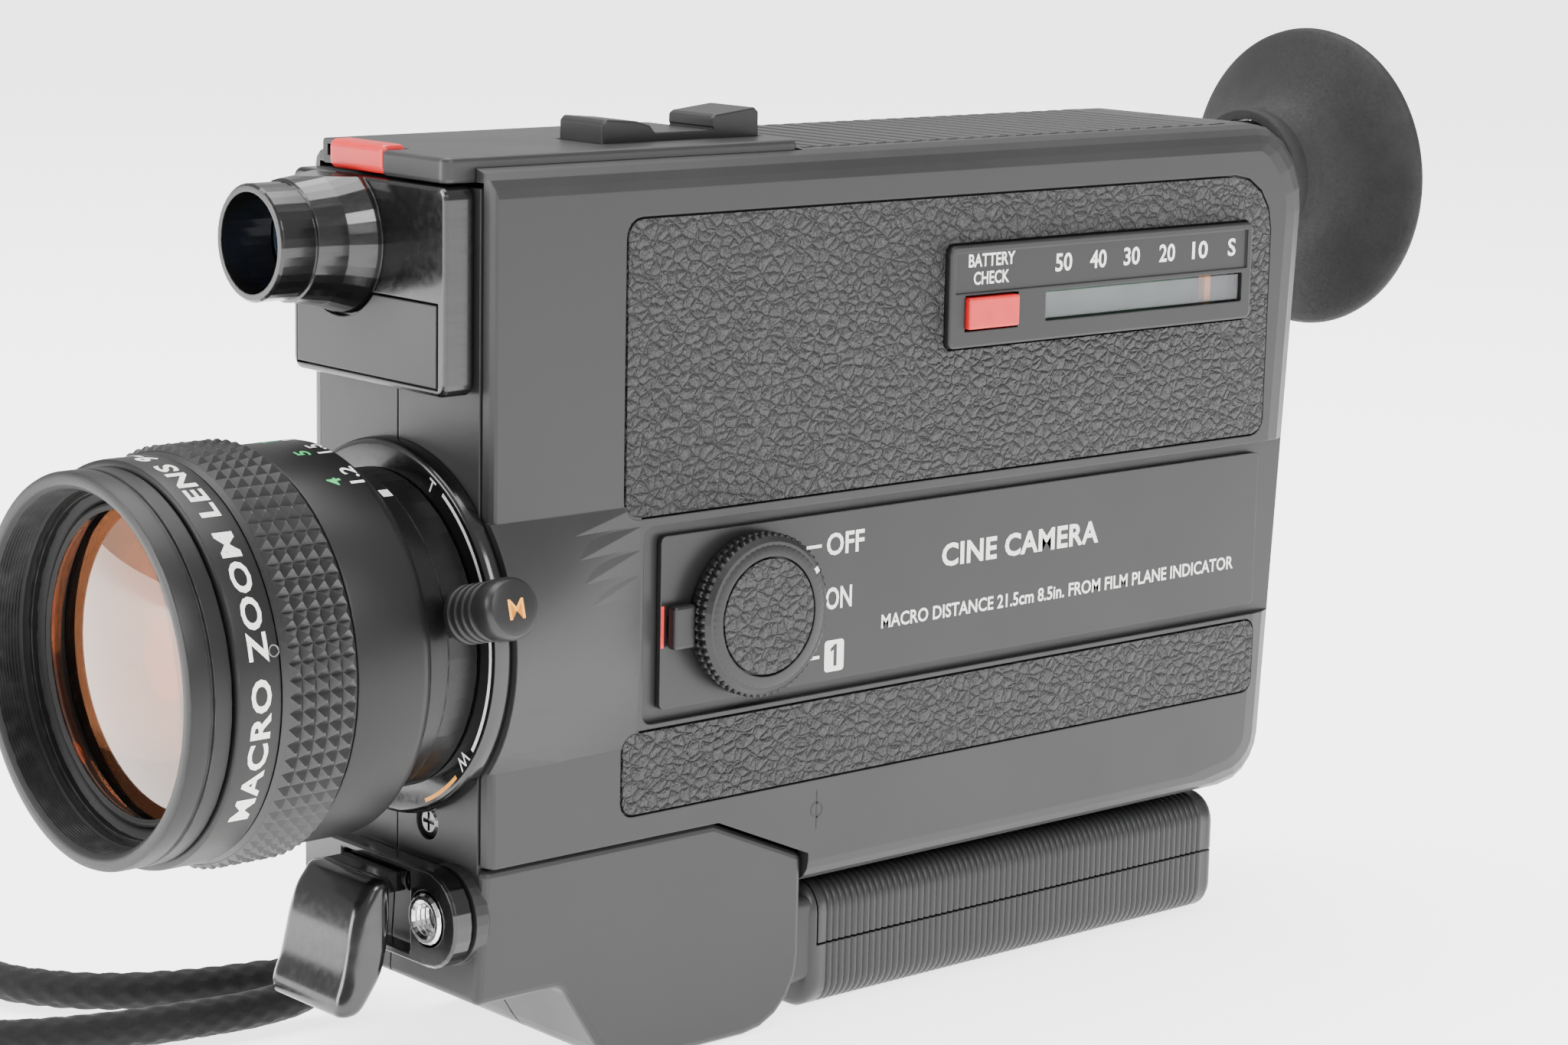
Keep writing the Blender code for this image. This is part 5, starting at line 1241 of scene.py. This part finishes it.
def grip_block():
    """The grip's block with half-round ribs across it from just behind its smooth collar."""
    stations = [(GRIP_Y[0], 1.0), (GRIP_Y[0] + 0.3, 0.4), (GRIP_Y[0] + 1.0, 0.0), (GRIP_Y[0] + 3.4, 0.0)]
    count = int((GRIP_Y[1] - 2.2 - stations[-1][0]) / RIB_PITCH)
    start = stations[-1][0]
    for k in range(count):
        for share in (0.0, 0.12, 0.3, 0.5, 0.7, 0.88):
            away = abs(share - 0.5) * 2
            inset = RIB_DEPTH * (1 - math.sqrt(1 - away**2 * 0.999))
            stations.append((start + (k + share) * RIB_PITCH + 0.3, inset))
    stations += [
        (GRIP_Y[1] - 1.4, 0.0), (GRIP_Y[1] - 0.9, 0.05), (GRIP_Y[1] - 0.3, 0.4), (GRIP_Y[1], 1.2),
    ]
    rows = []
    for y, inset in stations:
        outline = rounded_rect(
            (GRIP_X[0] + inset, GRIP_X[1] - inset), (GRIP_Z[0] + inset, GRIP_Z[1] - inset),
            GRIP_R - inset * 0.6,
        )
        rows.append([place(a, y, b) for a, b in outline])
    return loft(rows)


def grip_room(front):
    """The room for the cells inside the grip, from this y backwards."""
    wall = GRIP_WALL
    outline = rounded_rect(
        (GRIP_X[0] + wall, GRIP_X[1] - wall), (GRIP_Z[0] + wall, GRIP_Z[1] - wall), GRIP_R - wall
    )
    return loft([[place(a, y, b) for a, b in outline] for y in (front, GRIP_Y[1] - wall)])


def grip_dress():
    """The grip and its battery cover, parted at GRIP_SPLIT, with the hub and neck in front."""
    wide = (GRIP_X[0] - 5, GRIP_X[1] + 5)
    lower = carve(
        grip_block(),
        grip_room(GRIP_Y[0] + 18.0),
        block(wide, (COVER_START - GRIP_GAP, GRIP_Y[1] + 5), (GRIP_SPLIT - GRIP_GAP / 2, GRIP_Z[1] + 5)),
    )
    lower = dress(lower, "grip_ribbed", SATIN, "grip", sharp=60)
    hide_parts("grip_body")
    upper = carve(
        grip_block(),
        grip_room(COVER_START - 1.0),
        block(wide, (GRIP_Y[0] - 5, GRIP_Y[1] + 5), (GRIP_Z[0] - 5, GRIP_SPLIT + GRIP_GAP / 2)),
        block(wide, (GRIP_Y[0] - 5, COVER_START), (GRIP_Z[0] - 6, GRIP_Z[1] + 6)),
    )
    upper = dress(upper, "battery_cover_ribbed", SATIN, "battery_cover", sharp=60)
    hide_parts("battery_cover")
    start, end = (drafted(corner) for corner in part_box("grip_pin"))
    ear = (start.x + PIN_END, end.x - PIN_END)
    hub = ((start.y + end.y) / 2, (start.z + end.z) / 2)
    closed_ring("grip_hub", [
        (2.3, ear[0]), (11.4, ear[0]), (11.9, ear[0] + 0.5), (11.9, ear[1] - 0.5), (11.4, ear[1]),
        (2.3, ear[1]),
    ], SATIN, "grip", 96, hub, "X")
    outline = rounded_rect((ear[0], ear[1]), (GRIP_Z[0] + 4.0, GRIP_Z[1] - 1.5), 1.5, 5)
    neck = loft([[place(a, y, b) for a, b in outline] for y in (hub[0] + 9.0, GRIP_Y[0] + 0.8)])
    dress(neck, "grip_neck", SATIN, "grip")


# ---- eyecup


EYE_CENTRE = (-25.0, 30.0)


def soft_eyecup():
    """A folded rubber cup with a beaded rim and a stepped neck."""
    rear = drafted(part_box("eyecup")[1]).y
    outer = [
        (9.3, -15.4), (10.5, -15.4), (10.75, -15.1), (10.75, -12.8), (10.4, -12.5), (10.4, -11.9),
        (10.9, -11.5), (11.1, -10.2), (11.6, -8.8), (12.6, -7.5), (14.2, -6.1), (16.2, -4.8), (18.6, -3.6),
        (20.8, -2.7), (22.0, -2.1), (22.5, -1.5), (22.6, -0.9), (22.45, -0.35), (22.05, -0.05),
        (21.5, -0.1), (21.0, -0.6), (19.6, -1.7), (17.4, -2.8), (15.0, -4.0), (13.0, -5.3), (11.4, -6.6),
        (10.2, -8.0), (9.6, -9.6), (9.3, -10.6),
    ]
    profile = [(radius, rear + y) for radius, y in outer]
    cup = closed_ring(
        "soft_eyecup", profile, RUBBER, "eyecup", 160, EYE_CENTRE, sharp=60
    )
    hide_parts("eyecup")


dial_knurl()
zoom_knob_dress()
lock_tab_mark()
film_plane_mark()
smooth_trigger()
grip_dress()
soft_eyecup()


# ---- floor, light


FLOOR_HALF = 3.0
FLOOR_Z = -0.0002
FLOOR_GLOW = 2.6


def make_floor():
    """A pale floor that glows a little, as an overexposed paper sweep looks."""
    half = FLOOR_HALF
    corners = [(-half, -half), (half, -half), (half, half), (-half, half)]
    floor = linked("floor", [(x, y, FLOOR_Z) for x, y in corners], [[0, 1, 2, 3]], closed=False)
    look = Look("pale_floor")
    tone = look.blend(look.noise(3.0, 3.0), grey(0.90), grey(0.93))
    look.shader.inputs["Emission Color"].default_value = (1.0, 0.99, 0.985, 1.0)
    look.shader.inputs["Emission Strength"].default_value = FLOOR_GLOW
    look.set(color=tone, rough=0.6, specular=0.2)
    floor.data.materials.append(look.material)


def area_light(name, at, aim, size, power):
    """A softbox of this size in metres and power in watts."""
    data = bpy.data.lights.new(name, "AREA")
    data.shape = "RECTANGLE"
    data.size, data.size_y = size
    data.energy = power
    made = bpy.data.objects.new(name, data)
    bpy.context.scene.collection.objects.link(made)
    made.location = at
    made.rotation_euler = (Vector(aim) - Vector(at)).to_track_quat("-Z", "Y").to_euler()


def make_light():
    """Plain studio light: an even white room and three softboxes."""
    world = bpy.data.worlds.new("studio")
    world.use_nodes = True
    back = world.node_tree.nodes["Background"]
    back.inputs["Color"].default_value = (1.0, 1.0, 1.0, 1.0)
    back.inputs["Strength"].default_value = 0.8
    bpy.context.scene.world = world
    aim = (0.0, 0.0, 0.05)
    area_light("window", (-0.42, -0.95, 0.30), aim, (0.40, 0.6), 12.0)
    area_light("overhead", (-0.2, 0.0, 1.1), aim, (1.2, 1.0), 26.0)
    area_light("side", (1.1, -0.1, 0.8), aim, (0.5, 0.5), 12.0)


make_floor()
make_light()
